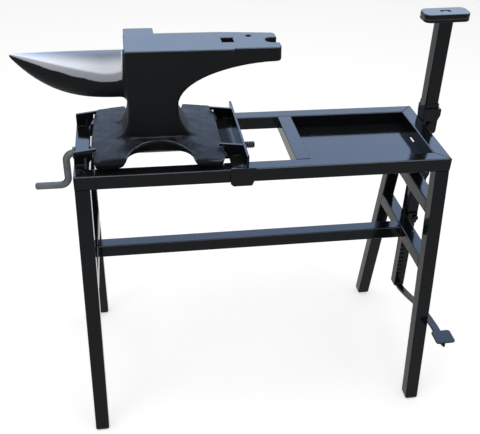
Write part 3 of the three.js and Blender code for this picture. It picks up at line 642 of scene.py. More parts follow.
def jaw_plate(low, high, recess=None):
    """Rows from the bore out along the lower face, round the edge, in along the top, down the bore."""
    outline = soft_rectangle(*JAW_HALF, JAW_CORNER, 10)
    away = outline / np.linalg.norm(outline, axis=1)[:, None]
    heights, insets, edge_mark = eased_levels(low, high, JAW_EDGE, 5)
    rows = [(outline - i * away, h, w) for h, i, w in zip(heights, insets, edge_mark)]
    if recess:
        rows += [(away * (recess[0] + 0.5), high, 0), (away * recess[0], high - 0.5, 1)]
        rows += [(away * recess[0], recess[1], 0), (away * BORE, recess[1], 0)]
    else:
        rows += [(away * BORE, high, 0)]
    rows += [(away * BORE, low, 0)]
    rings = np.array([np.column_stack([p + [POST_X, POST_Y], np.full(len(p), h)]) for p, h, _ in rows])
    return lean(loop(rings, np.array([w for _, _, w in rows])[:, None]))


SEAM = 900.5
UPPER_TOP = 918.8
RECESS = (12.0, 913.3)


def post_place(u, v, w):
    return POST_X + u, POST_Y + v, 372.0 + w * (SEAM - GAP - 372.0)


make("vise_post_tube", "stand", "frame_paint", ["vise_post"], lean(tube(post_place)))
make("lower_jaw_plate", "stand", "frame_paint", ["lower_vise_jaw"], jaw_plate(SEAM, SEAM + 8))
make("upper_jaw_plate", "vise_set", "frame_paint", ["upper_vise_jaw"],
     jaw_plate(SEAM + 8 + GAP, UPPER_TOP, RECESS))

# %% [markdown]
# The rod's end shows in the recess inside a thin nut. Below, the pedal's arm is flat bar bent along
# an S: a rectangle carried along a smooth curve through a few measured points.

# %% Rod, nut, arm and pedal
ROD_R = 7.5
POST_LINE = (POST_X, POST_Y, 0)
rod_levels = np.array([420.3, 421.5, 916.3, 917.3, 917.8])
rod_radii = np.broadcast_to(np.array([6.3, ROD_R, ROD_R, ROD_R - 0.6, ROD_R - 1.8])[:, None], (5, ROUND))
make("pull_rod_bar", "vise_set", "frame_paint", ["pull_rod"],
     lean(stack(about("z", rod_levels, rod_radii, POST_LINE))))
rod_nut = ring_rows(*hexagon_rows(19.0, 913.6, 917.6), ROD_R + GAP)
make("rod_nut_hexagon", "vise_set", "frame_paint", ["rod_nut"], lean(loop(about("z", *rod_nut, POST_LINE))))

ARM_POINTS = np.array([
    (49.5, 151), (36, 152), (20, 156.5), (-4, 164.5), (-35, 175.5),
    (-74, 190), (-132, 203), (-170, 209), (-192, 211.5), (-236, 212)], float)
ARM_TIP = (-250.0, 209.0)
ARM_HALF = (9.0, 3.5)


def smooth_through(points, steps):
    """Catmull-Rom: between two points the curve leaves and arrives along their neighbours' chord."""
    padded = np.concatenate([2 * points[:1] - points[1:2], points, 2 * points[-1:] - points[-2:-1]])
    p0, p1, p2, p3 = (padded[i:len(points) - 1 + i, None] for i in range(4))
    t = np.linspace(0, 1, steps, endpoint=False)[None, :, None]
    a, b, c = p2 - p0, 2 * p0 - 5 * p1 + 4 * p2 - p3, 3 * (p1 - p2) + p3 - p0
    curve = 0.5 * (2 * p1 + a * t + b * t ** 2 + c * t ** 3)
    return np.concatenate([curve.reshape(-1, 2), points[-1:]])


def pedal_arm():
    """Soft rectangles set square to the curve; the last is narrow and a little lower, as a point."""
    line = np.concatenate([smooth_through(ARM_POINTS, 9), [ARM_TIP]])
    ahead = np.gradient(line, axis=0)
    ahead /= np.linalg.norm(ahead, axis=1)[:, None]
    ahead[0], ahead[-2:] = (-1, 0), ahead[-3]
    section = soft_rectangle(*ARM_HALF, 1.5, 3)
    width = np.ones(len(line))
    width[-1] = 0.22
    x = POST_X + width[:, None] * section[None, :, 0]
    y = line[:, :1] - ahead[:, 1:] * section[None, :, 1]
    z = line[:, 1:] + ahead[:, :1] * section[None, :, 1]
    return lean(stack(np.stack([x, y, z], -1), corner_wear_and_highlight(3)[None, :]))


pedal_outline = soft_rectangle(23.5, 20.5, 6.0) + [423.7, -229.0]
make("pedal_arm_bar", "vise_set", "frame_paint", ["pedal_arm"], pedal_arm())
make("pedal_plate", "vise_set", "frame_paint", ["pedal"],
     lean(plate(pedal_outline, 215.8, 220.8, flat, 1.4)))

# %% [markdown]
# ## Bolts
# Three hexagon bolts hold the saddle castings and the catch. Each is a head with its corners turned
# down and a plain shank, both stacks along Y.

# %% Bolts through the castings and the catch
def bolt(x, z, head_back, tip):
    """A hexagon 5.5 mm high in front of head_back, its outer face turned down, and the shank."""
    levels, radii = hexagon_rows(13.0, -head_back, -head_back + 5.5, both=False)
    head = stack(about("y", -levels, radii, (x, 0, z)))
    run = np.array([head_back - 0.5, tip])
    shank = stack(about("y", run, np.full((2, 24), 4.0), (x, 0, z)))
    return [lean(head), lean(shank)]


post_front = POST_Y - HALF_TUBE - GAP
BOLTS = {
    "upper_bracket_bolt": (POST_X, 650.0, post_front - 3.8, post_front),
    "lower_bracket_bolt": (POST_X, 488.0, post_front - 3.8, post_front),
    "catch_bolt": (427.0, 383.0, post_front - 5.3, post_front),
}
for node, place in BOLTS.items():
    make(node + "_hexagon", "stand", "frame_paint", [node], *bolt(*place))

# %% [markdown]
# ## Weld beads
# Every joint of the trestle is welded, and the bead is what tells a welded frame from a glued one.
# A bead is a small circle carried along the joint, swelling and shrinking as the puddle froze.

# %% Beads along the joints
BEAD_PITCH = 3.4
BEAD_STEPS_PER_MM = 1.2


def bead(start, end, radius=2.2, sides=8):
    """Circles along a line; radius times sqrt(1 - s^8) tapers the ends, a cosine gives the ripple."""
    start, end = np.array(start, float), np.array(end, float)
    length = np.linalg.norm(end - start)
    s = np.linspace(-0.99, 0.99, max(6, int(length * BEAD_STEPS_PER_MM)))
    ripple = 1 + 0.1 * np.cos(2 * np.pi * s * length / 2 / BEAD_PITCH)
    r = (radius * np.sqrt(1 - s ** 8) * ripple)[:, None, None]
    run = (end - start) / length
    side = np.cross(run, [0.31, 0.57, 0.76])
    side /= np.linalg.norm(side)
    up = np.cross(run, side)
    a = np.linspace(0, 2 * np.pi, sides, endpoint=False)[None, :, None]
    centre = (start + end) / 2 + s[:, None] * (end - start) / 2
    return stack(centre[:, None] + r * (np.cos(a) * side + np.sin(a) * up))


beads = []
inner_x, inner_y = HALF_LENGTH - TUBE, HALF_DEPTH - TUBE
for depth, end in LEGS:
    x, y = SIDE[end] * inner_x, SIDE[depth] * (HALF_DEPTH - HALF_TUBE)
    beads.append(bead((x, y - 13, RAIL_BOTTOM), (x, y + 13, RAIL_BOTTOM)))
for side, top in ((-1, LOW_RUNG), (1, LOW_RUNG), (1, HIGH_RUNG)):
    for level in (top, top - TUBE):
        for depth in (-1, 1):
            y = depth * (inner_y + splay(level))
            x0, x1 = side * (inner_x + 3 + spread(level)), side * (HALF_LENGTH - 3 + spread(level))
            beads.append(bead((x0, y, level), (x1, y, level)))
for side in (-1, 1):
    x = side * (inner_x + spread(LOW_RUNG))
    beads.append(bead((x, -13, LOW_RUNG), (x, 13, LOW_RUNG)))
    beads.append(bead((x, -13, LOW_RUNG - TUBE), (x, 13, LOW_RUNG - TUBE)))
    for y in (-HALF_TUBE, HALF_TUBE):
        beads.append(bead((x, y, LOW_RUNG - 28), (x, y, LOW_RUNG - 3)))
    for x in (CROSS_BAR - HALF_TUBE, CROSS_BAR + HALF_TUBE):
        beads.append(bead((x, side * inner_y, RAIL_BOTTOM + 4), (x, side * inner_y, TOP - 3)))
for y in WING_Y.values():
    for face in (-WING / 2, WING / 2):
        beads.append(bead((-400, y + face, TOP + 0.2), (-377, y + face, TOP + 0.2)))
    foot = y - WING / 2
    for x in GUSSET_X:
        beads.append(bead((x, foot - 1, TOP + 0.3), (x, foot - 14, TOP + 0.3), 1.5))
LUMPS = [((-399, -104, 660.4), (-386, -108, 660.4), 3.2), ((-384, -110, 660.4), (-377, -122, 660.4), 2.6),
         ((-398, -88, 660.4), (-372, -86, 660.4), 2.6), ((-397, -112, 660.2), (-389, -119, 660.2), 2.2)]
beads += [bead(*lump) for lump in LUMPS]
make("trestle_weld_beads", "stand", "frame_paint", [], *beads)

jaw_beads = []
for y in WING_Y.values():
    for face in (-WING / 2, WING / 2):
        jaw_beads.append(bead((-73, y + face, TOP + 5.5), (-52, y + face, TOP + 5.5), 1.8))
for side in (-1, 1):
    y = side * (HALF_DEPTH + 0.4)
    jaw_beads.append(bead((-73, y, TOP + 5.3), (-51, y, TOP + 5.3), 1.6))
make("jaw_weld_beads", "jaw_set", "frame_paint", [], *jaw_beads)

BAR_FRONT = POST_Y - 13.5
arm_top = ARM_POINTS[0, 1] + ARM_HALF[1]
vise_beads = [bead((POST_X - 8.5, BAR_FRONT, arm_top), (POST_X + 8.5, BAR_FRONT, arm_top), 2.6)]
for side in (-1, 1):
    x = POST_X + side * ARM_HALF[0]
    vise_beads.append(bead((x, BAR_FRONT, arm_top - 6.5), (x, BAR_FRONT, arm_top), 2.2))
make("vise_weld_beads", "vise_set", "frame_paint", [], *[lean(b) for b in vise_beads])

# %% [markdown]
# ## The anvil
# The anvil is one casting: a horn drawn from circles, a long heel with its holes, a waist and a
# spreading foot with arched sides. No single grid covers such a body, and joining meshes leaves hard
# seams. So it is written as a field of distances: each form is a formula that is below zero inside,
# a soft minimum joins forms with the fillet that sand leaves, and a soft maximum cuts them with an
# eased edge. The surface is where the field is zero.

# %% Joining and cutting distances
ANVIL_X = -227.0
ANVIL_BASE = TOP + GAP
FACE = 228.5
HALF_WIDTH = 50.5


def joined(a, b, ease):
    """The smaller distance, less (ease - gap)^2 / 4 ease where the two come close."""
    near = np.maximum(ease - np.abs(a - b), 0)
    return np.minimum(a, b) - near ** 2 / (4 * ease)


def cut_to(a, b, ease):
    return -joined(-a, -b, ease)


def from_outline(u, v, outline):
    """Distance to the nearest side of a closed outline, below zero when the winding is odd."""
    u, v = np.broadcast_arrays(u, v)
    nearest, odd = np.full(u.shape, np.inf), np.zeros(u.shape, bool)
    for (u0, v0), (u1, v1) in zip(outline, np.roll(outline, -1, 0)):
        along = np.clip(((u - u0) * (u1 - u0) + (v - v0) * (v1 - v0)) / ((u1 - u0) ** 2 + (v1 - v0) ** 2), 0, 1)
        nearest = np.minimum(nearest, np.hypot(u - u0 - along * (u1 - u0), v - v0 - along * (v1 - v0)))
        if v0 != v1:
            odd ^= ((v0 > v) != (v1 > v)) & (u < u0 + (v - v0) * (u1 - u0) / (v1 - v0))
    return np.where(odd, -nearest, nearest)


def from_box(u, v, half_u, half_v, corner):
    """Distance to a rectangle with round corners."""
    du, dv = np.abs(u) - half_u + corner, np.abs(v) - half_v + corner
    return np.hypot(np.maximum(du, 0), np.maximum(dv, 0)) + np.minimum(np.maximum(du, dv), 0) - corner


# %% Horn, body and foot
HORN_START, HORN_TIP, HORN_R, HORN_TOP = -62.0, -284.0, 47.5, 211.0
HORN_TAPER = 0.94
HEEL = 256.0
FOOT_HALF = (134.0, 122.0)
FOOT_CORNER = 13.0
EAR = 6.0
DECK, CROWN = 33.5, 4.5
ARCH_R, ARCH_Y, ARCH_WIDENS = 64.5, 126.5, 0.46
PAST = 10.0


def curve(start, grip_a, grip_b, end, steps=24):
    """A cubic curve between two points, pulled by two grips."""
    t = np.linspace(0, 1, steps)[:, None]
    a, b, c, d = (np.array(p, float) for p in (start, grip_a, grip_b, end))
    return (1 - t) ** 3 * a + 3 * t * (1 - t) ** 2 * b + 3 * t ** 2 * (1 - t) * c + t ** 3 * d


SIDE_VIEW = np.concatenate([
    [(-60, FACE + PAST), (-60, 130), (-58.5, 104), (-60, 78), (-60, 20), (46, 20), (46, 86)],
    curve((44.5, 108), (43.5, 165.7), (166.7, 201.7), (HEEL, 199.7), 18),
    [(HEEL + PAST, 199.7), (HEEL + PAST, FACE + PAST)]])
PLAN = np.concatenate([
    [(-95, -HALF_WIDTH)],
    curve((HEEL - 15, -HALF_WIDTH), (HEEL - 5, -HALF_WIDTH), (HEEL, -45.5), (HEEL, -37), 8),
    curve((HEEL - 1.5, 32), (HEEL - 1.5, 37), (HEEL - 4.5, 40), (HEEL - 9.5, 40.7), 6),
    [(141, HALF_WIDTH), (-95, HALF_WIDTH)]])
SHELF = np.array([(40, FACE + PAST), (40, 176), (50, 176), (83, 207), (83, FACE + PAST)], float)
HOLLOW = np.array([(-95, -9), (95, -9), (95, 0), (64, 14), (-64, 14), (-95, 0)], float)


def share(value, start, over):
    """0 before start, 1 once value is past it by over."""
    return np.clip((value - start) / over, 0, 1)


def eased_share(value, start, over):
    """The same with a slow start and end, s^2 (3 - 2s)."""
    s = share(value, start, over)
    return s * s * (3 - 2 * s)


def horn_circle(x):
    """Radius R (1 - taper u^3) along the horn, its top line level at one height."""
    u = share(-x, -HORN_START, HORN_START - HORN_TIP)
    radius = HORN_R * (1 - HORN_TAPER * u ** 3)
    return u, radius, HORN_TOP - radius


def horn_field(x, y, z):
    _, radius, axis_z = horn_circle(x)
    return cut_to(np.hypot(y, z - axis_z) - radius, np.maximum(HORN_TIP + 0.2 - x, x + 40), 2.5)


def flare(z, height):
    """(1 - h / height)^1.6 above the deck: the waist spreads as it comes down."""
    return np.clip(1 - (z - 38) / height, 0, 1.2) ** 1.6


def body_field(x, y, z):
    left_flare = 14.5 * flare(z, 45.0) * eased_share(-np.abs(y), -53, 14)
    sides = from_outline(x, z, SIDE_VIEW) - np.where(x < 0, left_flare, 26 * flare(z, 50.0))
    step = np.where(y < 0, 4 * share(x, 155, 4) * eased_share(z, 200, 22), 0)
    plan = from_outline(x, y - step, PLAN) + 3.5 * share(-z, -120, 80)
    body = cut_to(sides, plan, 4.0 + 4.0 * share(-z, -210, 40))
    shelf = cut_to(from_outline(y, z, SHELF), np.abs(x + 29) - 31, 3.0)
    body = cut_to(joined(body, shelf, 3.0), z - FACE, 2.6)
    hardy = from_box(x - 150, y - 3, 12.5, 12.5, 1.5)
    pritchel = np.hypot(x - 197, y - 24) - 5.5
    notch = np.maximum(np.hypot(np.minimum(x - 242, 0), y + 2) - 14.0, 225 - x)
    for hole in (hardy, pritchel, notch):
        body = cut_to(body, -np.maximum(hole, 150 - z), 2.0)
    return np.maximum(body, 30 - z)


def arch_field(x, y, z):
    """Below zero outside an oval |x / a|^n + |y / r|^n = 1, wider towards the floor."""
    below = np.clip(DECK - z, -8, DECK)
    a, n = ARCH_R + ARCH_WIDENS * below, 2 + 0.03 * below
    inward = np.maximum(ARCH_Y - np.abs(y), 0)
    reach = (np.abs(x / a) ** n + (inward / ARCH_R) ** n) ** (1 / n)
    return (1 - reach) * (a + ARCH_R) / 2


def foot_field(x, y, z):
    """A soft box with swelling ends, an oval arch at each side and a deck that falls to its ends."""
    ear = np.where(y < 0, share(x, 30, 40), 0)
    bulge = np.where(x < 0, 4.0, 1.0) * np.clip(1 - (y / FOOT_HALF[1]) ** 2, 0, 1) ** 2
    draft = np.interp(z, [0, 20, 38], [1, 0, 0.27])
    uneven = 0.5 * np.sin(0.13 * x + 0.05 * y + 1) * np.sin(0.11 * y - 0.04 * x)
    crown = CROWN * eased_share(-np.abs(x), -102, 28) * eased_share(-np.abs(y), -98, 34)
    along = np.maximum(np.abs(x) - bulge, 0) + 3 * draft
    plan = from_box(along, np.abs(y) + 11 * draft - EAR * ear, *FOOT_HALF, FOOT_CORNER) + uneven
    plan = cut_to(plan, arch_field(x, y, z), 4.0)
    falls = 0.12 * np.maximum(np.abs(x) - 70, 0) + 0.13 * ear * np.maximum(-y - 78, 0)
    deck = z - DECK - crown + falls
    foot = cut_to(plan, deck, 3.5)
    ledge_top = DECK + CROWN + 2.2 - 0.2 * np.maximum(np.abs(x + 2) - 54, 0)
    ledge = cut_to(from_box(x + 2, np.abs(y) - 42, 78, 9.5, 4.0), z - ledge_top, 1.2)
    foot = joined(foot, ledge, 2.0 + 10.0 * share(-np.abs(y), -46, 10))
    foot = cut_to(foot, -from_outline(x, z, HOLLOW), 2.5)
    return cut_to(foot, -z, 2.0)


def anvil_field(x, y, z):
    body = joined(body_field(x, y, z), horn_field(x, y, z), 3.0 + 12.0 * share(-z, -160, 40))
    return joined(body, foot_field(x, y, z), 1.5 + 8.5 * share(-np.abs(y), -47, 8))


# %% A surface where the field is zero
CELL = 2.2


def surface_net(field, low, high, cell):
    """One point in each cell that the surface crosses, and a face round each edge that it cuts."""
    axes = [np.arange(a, b + cell, cell) for a, b in zip(low, high)]
    inside = field(*np.meshgrid(*axes, indexing="ij", sparse=True)) < 0
    cells = np.array(inside.shape) - 1
    filled = np.zeros(cells, np.int8)
    for i, j, k in np.ndindex(2, 2, 2):
        filled += inside[i:i + cells[0], j:j + cells[1], k:k + cells[2]]
    crossed = (filled > 0) & (filled < 8)
    number = np.full(cells, -1)
    number[crossed] = np.arange(crossed.sum())
    points = np.array(low) + cell * (np.argwhere(crossed) + 0.5)
    faces = []
    for axis in range(3):
        state, cell_number = np.moveaxis(inside, axis, 0), np.moveaxis(number, axis, 0)
        i, j, k = np.nonzero(state[1:] != state[:-1])
        ring = [cell_number[i, j - a, k - b] for a, b in ((1, 1), (0, 1), (0, 0), (1, 0))]
        ring = np.stack(ring, -1)
        leaving = state[i, j, k] ^ (axis == 1)
        faces.append(np.where(leaving[:, None], ring, ring[:, ::-1]))
    return points, np.concatenate(faces)


def settle(points, field, passes, most):
    """Newton steps: each point moves by field times slope over slope squared, at most so far."""
    tiny = 0.05
    for _ in range(passes):
        value = field(*points.T)
        slope = np.empty_like(points)
        for axis in range(3):
            step = tiny * np.eye(3)[axis]
            slope[:, axis] = (field(*(points + step).T) - field(*(points - step).T)) / (2 * tiny)
        move = value[:, None] * slope / np.maximum((slope ** 2).sum(1), 0.05)[:, None]
        length = np.linalg.norm(move, axis=1)[:, None]
        points = points - move * np.minimum(1, most / np.maximum(length, 1e-9))
    return points


def relax(points, faces, share):
    """Moves every point by its share of the way to the mean of its neighbours."""
    sides = np.concatenate([faces[:, [k, (k + 1) % 4]] for k in range(4)])
    count = np.bincount(sides.ravel(), minlength=len(points))[:, None]
    total = np.zeros_like(points)
    np.add.at(total, sides[:, 0], points[sides[:, 1]])
    np.add.at(total, sides[:, 1], points[sides[:, 0]])
    return points + share * (total / count - points)


casting, anvil_faces = surface_net(
    anvil_field, (HORN_TIP - 4, -FOOT_HALF[1] - 12, -4.0), (HEEL + 4, FOOT_HALF[1] + 6, FACE + 4), CELL)
casting = settle(casting, anvil_field, 3, CELL)
for _ in range(2):
    casting = settle(relax(casting, anvil_faces, 0.6), anvil_field, 2, CELL)
print("anvil:", len(casting), "points, furthest from zero", np.abs(anvil_field(*casting.T)).max().round(4))

# %% Where the horn is polished and the face ground
BAND = 180.0
NEAR = 1.5

x, y, z = casting.T
u, radius, axis_z = horn_circle(x)
from_top = np.degrees(np.arctan2(np.abs(y), z - axis_z))
border = 86.5 - 47 * np.maximum(u - 0.2, 0) - 7 * np.clip(1 - u / 0.16, 0, 1) ** 2
polish = np.clip((border - from_top) / BAND + 0.5, 0, 1) * np.clip((HORN_START - 1.5 - x) / 1.5, 0, 1)
polish *= z > HORN_TOP - 2 * HORN_R - 6
ground = np.clip((z - (FACE - 1.0)) / 0.8, 0, 1)
beside = sum(anvil_field(*(casting + side * NEAR * np.eye(3)[axis]).T) for axis in range(3) for side in (-1, 1))
curvature = (beside - 6 * anvil_field(*casting.T)) / NEAR ** 2
# Convex edges, marked for rubbed casting and for a painted highlight.
wear_and_highlight = share(curvature, 0.12, 0.3) * share(z, 3.0, 3.0)
# The arch wall below the deck, marked for painted shade.
painted_shade = share(arch_field(x, y, z), -3.0, 2.0) * share(DECK + CROWN - 5 - z, 0.0, 4.0)

mesh = fill_mesh("anvil_casting", [(casting + [ANVIL_X, 0, ANVIL_BASE], [anvil_faces], np.zeros(len(x)))])
for title, values in (("polish", polish), ("ground", ground), ("wear_and_highlight", wear_and_highlight), ("painted_shade", painted_shade)):
    attribute = mesh.attributes.new(title, "FLOAT", "POINT")
    attribute.data.foreach_set("value", values.astype(np.float32))
mesh.shade_smooth()
add_piece("anvil_casting", mesh, "stand", "anvil_iron", ["anvil"], weighted=False)
print("polished share of points:", (polish > 0.5).mean().round(3))

# %% [markdown]
# ## Shader sums in Python
# A finish is a sum of masks and noises. One small class holds a socket, so that `1 - mask` or
# `0.2 + 0.1 * grain` adds the Math nodes by itself. Any other node comes from its one method.

# %% A value between nodes
class Wire:
    """An output socket in a shader tree; arithmetic on it adds Math nodes."""

    def __init__(self, tree, socket=None):
        self.tree, self.socket = tree, socket

    def feed(self, target, value):
        if isinstance(value, Wire):
            self.tree.links.new(value.socket, target)
        else:
            target.default_value = value

    def node(self, kind, settings=None, sockets=None, out=0):
        """Adds a node: its settings first, then values or links of its sockets; gives one output."""
        made = self.tree.nodes.new("ShaderNode" + kind)
        for key, value in (settings or {}).items():
            setattr(made, key, value)
        for key, value in (sockets or {}).items():
            self.feed(made.inputs[key], value)
        return Wire(self.tree, made.outputs[out]) if len(made.outputs) else made

    def math(self, operation, a, b):
        return self.node("Math", {"operation": operation}, {0: a, 1: b})

    def __add__(self, other):
        return self.math("ADD", self, other)

    def __sub__(self, other):
        return self.math("SUBTRACT", self, other)

    def __rsub__(self, other):
        return self.math("SUBTRACT", other, self)

    def __mul__(self, other):
        return self.math("MULTIPLY", self, other)

    def __pow__(self, other):
        return self.math("POWER", self, other)

    __radd__, __rmul__ = __add__, __mul__


# %% Common steps of a finish
def ramp(value, low, high):
    """Smooth step from 0 at low to 1 at high."""
    settings = {"interpolation_type": "SMOOTHSTEP"}
    return value.node("MapRange", settings, {0: value, 1: low, 2: high, 3: 0.0, 4: 1.0})


def blend(mask, a, b):
    """Colour a where the mask is 0, colour b where it is 1."""
    return mask.node("Mix", {"data_type": "RGBA"}, {0: mask, 6: a, 7: b}, out=2)


def grey(level, tint=(1.0, 1.0, 1.0)):
    return (*(level * t for t in tint), 1.0)


def noise(place, scale, detail=3.0, rough=0.5):
    return place.node("TexNoise", {}, {"Vector": place, "Scale": scale, "Detail": detail, "Roughness": rough})


def stretched(place, scale):
    return place.node("Mapping", {}, {"Vector": place, "Scale": scale})


def start_finish(name):
    material = bpy.data.materials.new(name)
    material.use_nodes = True
    material.node_tree.nodes.clear()
    root = Wire(material.node_tree)
    return material, root, root.node("TexCoord", out=3)


def end_finish(root, surface):
    root.node("OutputMaterial", {}, {"Surface": surface})


# %% [markdown]
# ## Gloss black paint
# The frame is sprayed with gloss black. Sprayed paint is never a mirror: it has orange peel a few
# millimetres across, hand marks that dull it, fine dust on level faces and thin spots on corners.
# Corners that face up are light grey, partly from that wear and partly as a painted highlight.

# %% Paint on the frame
BLUE = (0.86, 0.95, 1.12)
DARK_SPECULAR = 0.12
SHEEN_TINT = (0.9, 0.95, 1.0, 1.0)


def gloss_paint():
    material, root, place = start_finish("gloss_black_paint")
    cloud = noise(place, 7.0, 4.0)
    marks = ramp(noise(place, 23.0, 5.0, 0.6), 0.55, 0.75)
    specks = ramp(noise(place, 420.0, 2.0), 0.66, 0.74)
    up = root.node("SeparateXYZ", {}, {0: root.node("NewGeometry", out=1)}, out=2)
    edge = root.node("Attribute", {"attribute_name": "edge"}, out=2)
    # Corners that face up turn light grey: partly worn paint, partly a painted highlight.
    rubbed_and_highlit = ramp(edge * ramp(up, 0.0, 0.5) * (0.6 + 0.8 * noise(place, 45.0, 4.0, 0.7)), 0.5, 0.95)
    colour = blend(cloud, grey(0.006, BLUE), grey(0.01, BLUE))
    colour = blend(rubbed_and_highlit * 0.7, colour, grey(0.2, BLUE))
    colour = blend(specks * 0.1, colour, grey(0.06))
    rough = 0.08 + 0.05 * cloud + 0.07 * marks + 0.2 * rubbed_and_highlit
    peel = noise(place, 260.0, 2.0) + 0.5 * noise(place, 40.0, 2.0)
    bump = root.node("Bump", {}, {"Strength": 0.035, "Distance": 0.002, "Height": peel})
    gloss = root.node("BsdfPrincipled", {}, {
        "Base Color": colour, "Roughness": rough, "Normal": bump,
        "Specular IOR Level": DARK_SPECULAR, "Specular Tint": SHEEN_TINT})
    # A matt near-black, mixed in where a piece is marked, is painted shade.
    painted_shade_surface = root.node("BsdfDiffuse", {}, {"Color": blend(marks, grey(0.012), grey(0.03, BLUE))})
    painted_shade = root.node("Attribute", {"attribute_name": "painted_shade"}, out=2)
    end_finish(root, root.node("MixShader", {}, {0: 0.85 * ramp(painted_shade, 0.1, 0.7), 1: gloss, 2: painted_shade_surface}))
    return material


# %% [markdown]
# ## The anvil's finishes
# The casting is dipped black and keeps the grain of the sand. The face is ground flat and oiled, so
# it is smooth but still dark. The horn's upper part is polished bare steel, with the fine lines of
# the belt running round it and a soft border where the black begins.

# %% Black casting, ground face, polished horn
COOL = (0.93, 0.98, 1.07)


def anvil_iron():
    material, root, place = start_finish("anvil_iron")
    polish = root.node("Attribute", {"attribute_name": "polish"}, out=2)
    ground = root.node("Attribute", {"attribute_name": "ground"}, out=2)
    cloud = noise(place, 11.0, 5.0)
    grain = noise(place, 520.0, 4.0, 0.65)
    lumps = noise(place, 75.0, 3.0)
    lines = noise(stretched(place, (9.0, 260.0, 260.0)), 1.0, 4.0, 0.65)
    ragged = polish + 0.04 * (noise(place, 34.0, 4.0) - 0.5) + 0.014 * (noise(place, 190.0, 3.0) - 0.5)
    bright = ramp(ragged, 0.49, 0.51)
    # Masks for the painted highlight band just above the border and the painted shade on the crest.
    above = ramp(polish + 0.012 * (noise(place, 30.0, 3.0) - 0.5), 0.585, 0.628)
    crest = ramp(polish + 0.05 * (lines - 0.5), 0.58, 0.93)
    wear_and_highlight = root.node("Attribute", {"attribute_name": "wear_and_highlight"}, out=2)
    up = root.node("SeparateXYZ", {}, {0: root.node("NewGeometry", out=1)}, out=2)
    # Upward edges turn grey: partly rubbed casting, partly a painted highlight.
    rubbed_and_highlit = ramp(wear_and_highlight * (0.4 + 1.1 * noise(place, 60.0, 4.0, 0.7)), 0.35, 0.9) * ramp(up, -0.1, 0.5)
    strokes = noise(stretched(place, (60.0, 700.0, 60.0)), 1.0, 3.0, 0.6)
    painted_sheen_patches = ramp(noise(place, 42.0, 5.0, 0.65), 0.42, 0.7)
    black = blend(cloud, grey(0.004, BLUE), grey(0.01, BLUE))
    # Lighter blotches on faces that face up are a painted sheen.
    black = blend(painted_sheen_patches * ramp(up, 0.3, 0.8), black, grey(0.045, BLUE))
    black = blend(ramp(grain, 0.55, 0.75) * 0.5, black, grey(0.025, BLUE))
    black = blend(rubbed_and_highlit * 0.8, black, grey(0.2, BLUE))
    face = blend(strokes, grey(0.006, BLUE), grey(0.014, BLUE))
    steel = blend(lines, grey(0.28, COOL), grey(0.37, COOL))
    # Above the border the steel is painted light in a band and dark towards the crest: painted highlight and
    # painted shade.
    light, painted_shade_crest = blend(lines, grey(0.55, COOL), grey(0.85, COOL)), blend(lines, grey(0.08, COOL), grey(0.24, COOL))
    steel = blend(above, steel, blend(crest, light, painted_shade_crest))
    colour = blend(bright, blend(ground, black, face), steel)
    rough_cast = 0.42 + 0.14 * cloud + 0.1 * grain
    rough_face = 0.12 + 0.08 * strokes + 0.08 * cloud
    rough = rough_cast + ground * (rough_face - rough_cast)
    rough = rough + bright * (0.42 + 0.1 * lines - rough)
    cast = (1 - bright) * (1 - ground)
    height = cast * (grain + 1.6 * lumps) + 0.12 * bright * lines + 0.08 * ground * strokes
    bump = root.node("Bump", {}, {"Strength": 0.45, "Distance": 0.0014, "Height": height})
    iron = root.node("BsdfPrincipled", {}, {
        "Base Color": colour, "Roughness": rough, "Metallic": 0.55 * bright * (1 - 0.75 * crest), "Normal": bump,
        "Specular IOR Level": DARK_SPECULAR, "Specular Tint": SHEEN_TINT})
    # A matt near-black on the arch wall is painted shade.
    scale = root.node("BsdfDiffuse", {}, {"Color": blend(lumps, grey(0.003), grey(0.02, BLUE)), "Normal": bump})
    painted_shade = root.node("Attribute", {"attribute_name": "painted_shade"}, out=2)
    end_finish(root, root.node("MixShader", {}, {0: 0.95 * painted_shade, 1: iron, 2: scale}))
    return material


# %% [markdown]
# ## Zinc and plastic
# Screw, crank, collars and nuts are plated: a dull grey metal with faint clouds, stains and a fine
# spangle. The caps are moulded black plastic with a fine matt skin.

# %% Plated steel and cap plastic
ZINC = (0.94, 1.0, 1.04)


def zinc_plate():
    material, root, place = start_finish("zinc_plated_steel")
    cloud = noise(place, 30.0, 5.0, 0.6)
    spangle = noise(place, 190.0, 3.0)
    stain = ramp(noise(place, 55.0, 5.0, 0.65), 0.55, 0.75)
    facing = root.node("NewGeometry", out=1)
    up = root.node("SeparateXYZ", {}, {0: facing}, out=2)
    across = root.node("SeparateXYZ", {}, {0: facing}, out=1)
    # Upward faces and faces turned to front and back are painted lighter, the flanks darker: painted light and
    # painted shade.
    painted_light_facing = ramp(0.45 * up + 0.9 * across * across, 0.1, 0.95)
    shade = blend(cloud, grey(0.025, ZINC), grey(0.06, ZINC))
    colour = blend(painted_light_facing, shade, blend(cloud, grey(0.08, ZINC), grey(0.23, ZINC)))
    colour = blend(stain * 0.5, colour, grey(0.07, (1.05, 1.0, 0.92)))
    # The thread's grooves are darker and not metallic.
    darker_in_grooves = ramp(root.node("Attribute", {"attribute_name": "edge"}, out=2), 0.1, 0.6)
    colour = blend(darker_in_grooves * 0.9, colour, grey(0.01, (1.1, 1.0, 0.8)))
    rough = 0.34 + 0.12 * cloud + 0.08 * spangle + 0.12 * stain
    bump = root.node("Bump", {}, {"Strength": 0.12, "Distance": 0.0008, "Height": spangle + cloud})
    end_finish(root, root.node("BsdfPrincipled", {}, {
        "Base Color": colour, "Roughness": rough, "Metallic": (0.55 - 0.3 * stain) * (1 - darker_in_grooves), "Normal": bump,
        "Specular IOR Level": 0.3}))
    return material


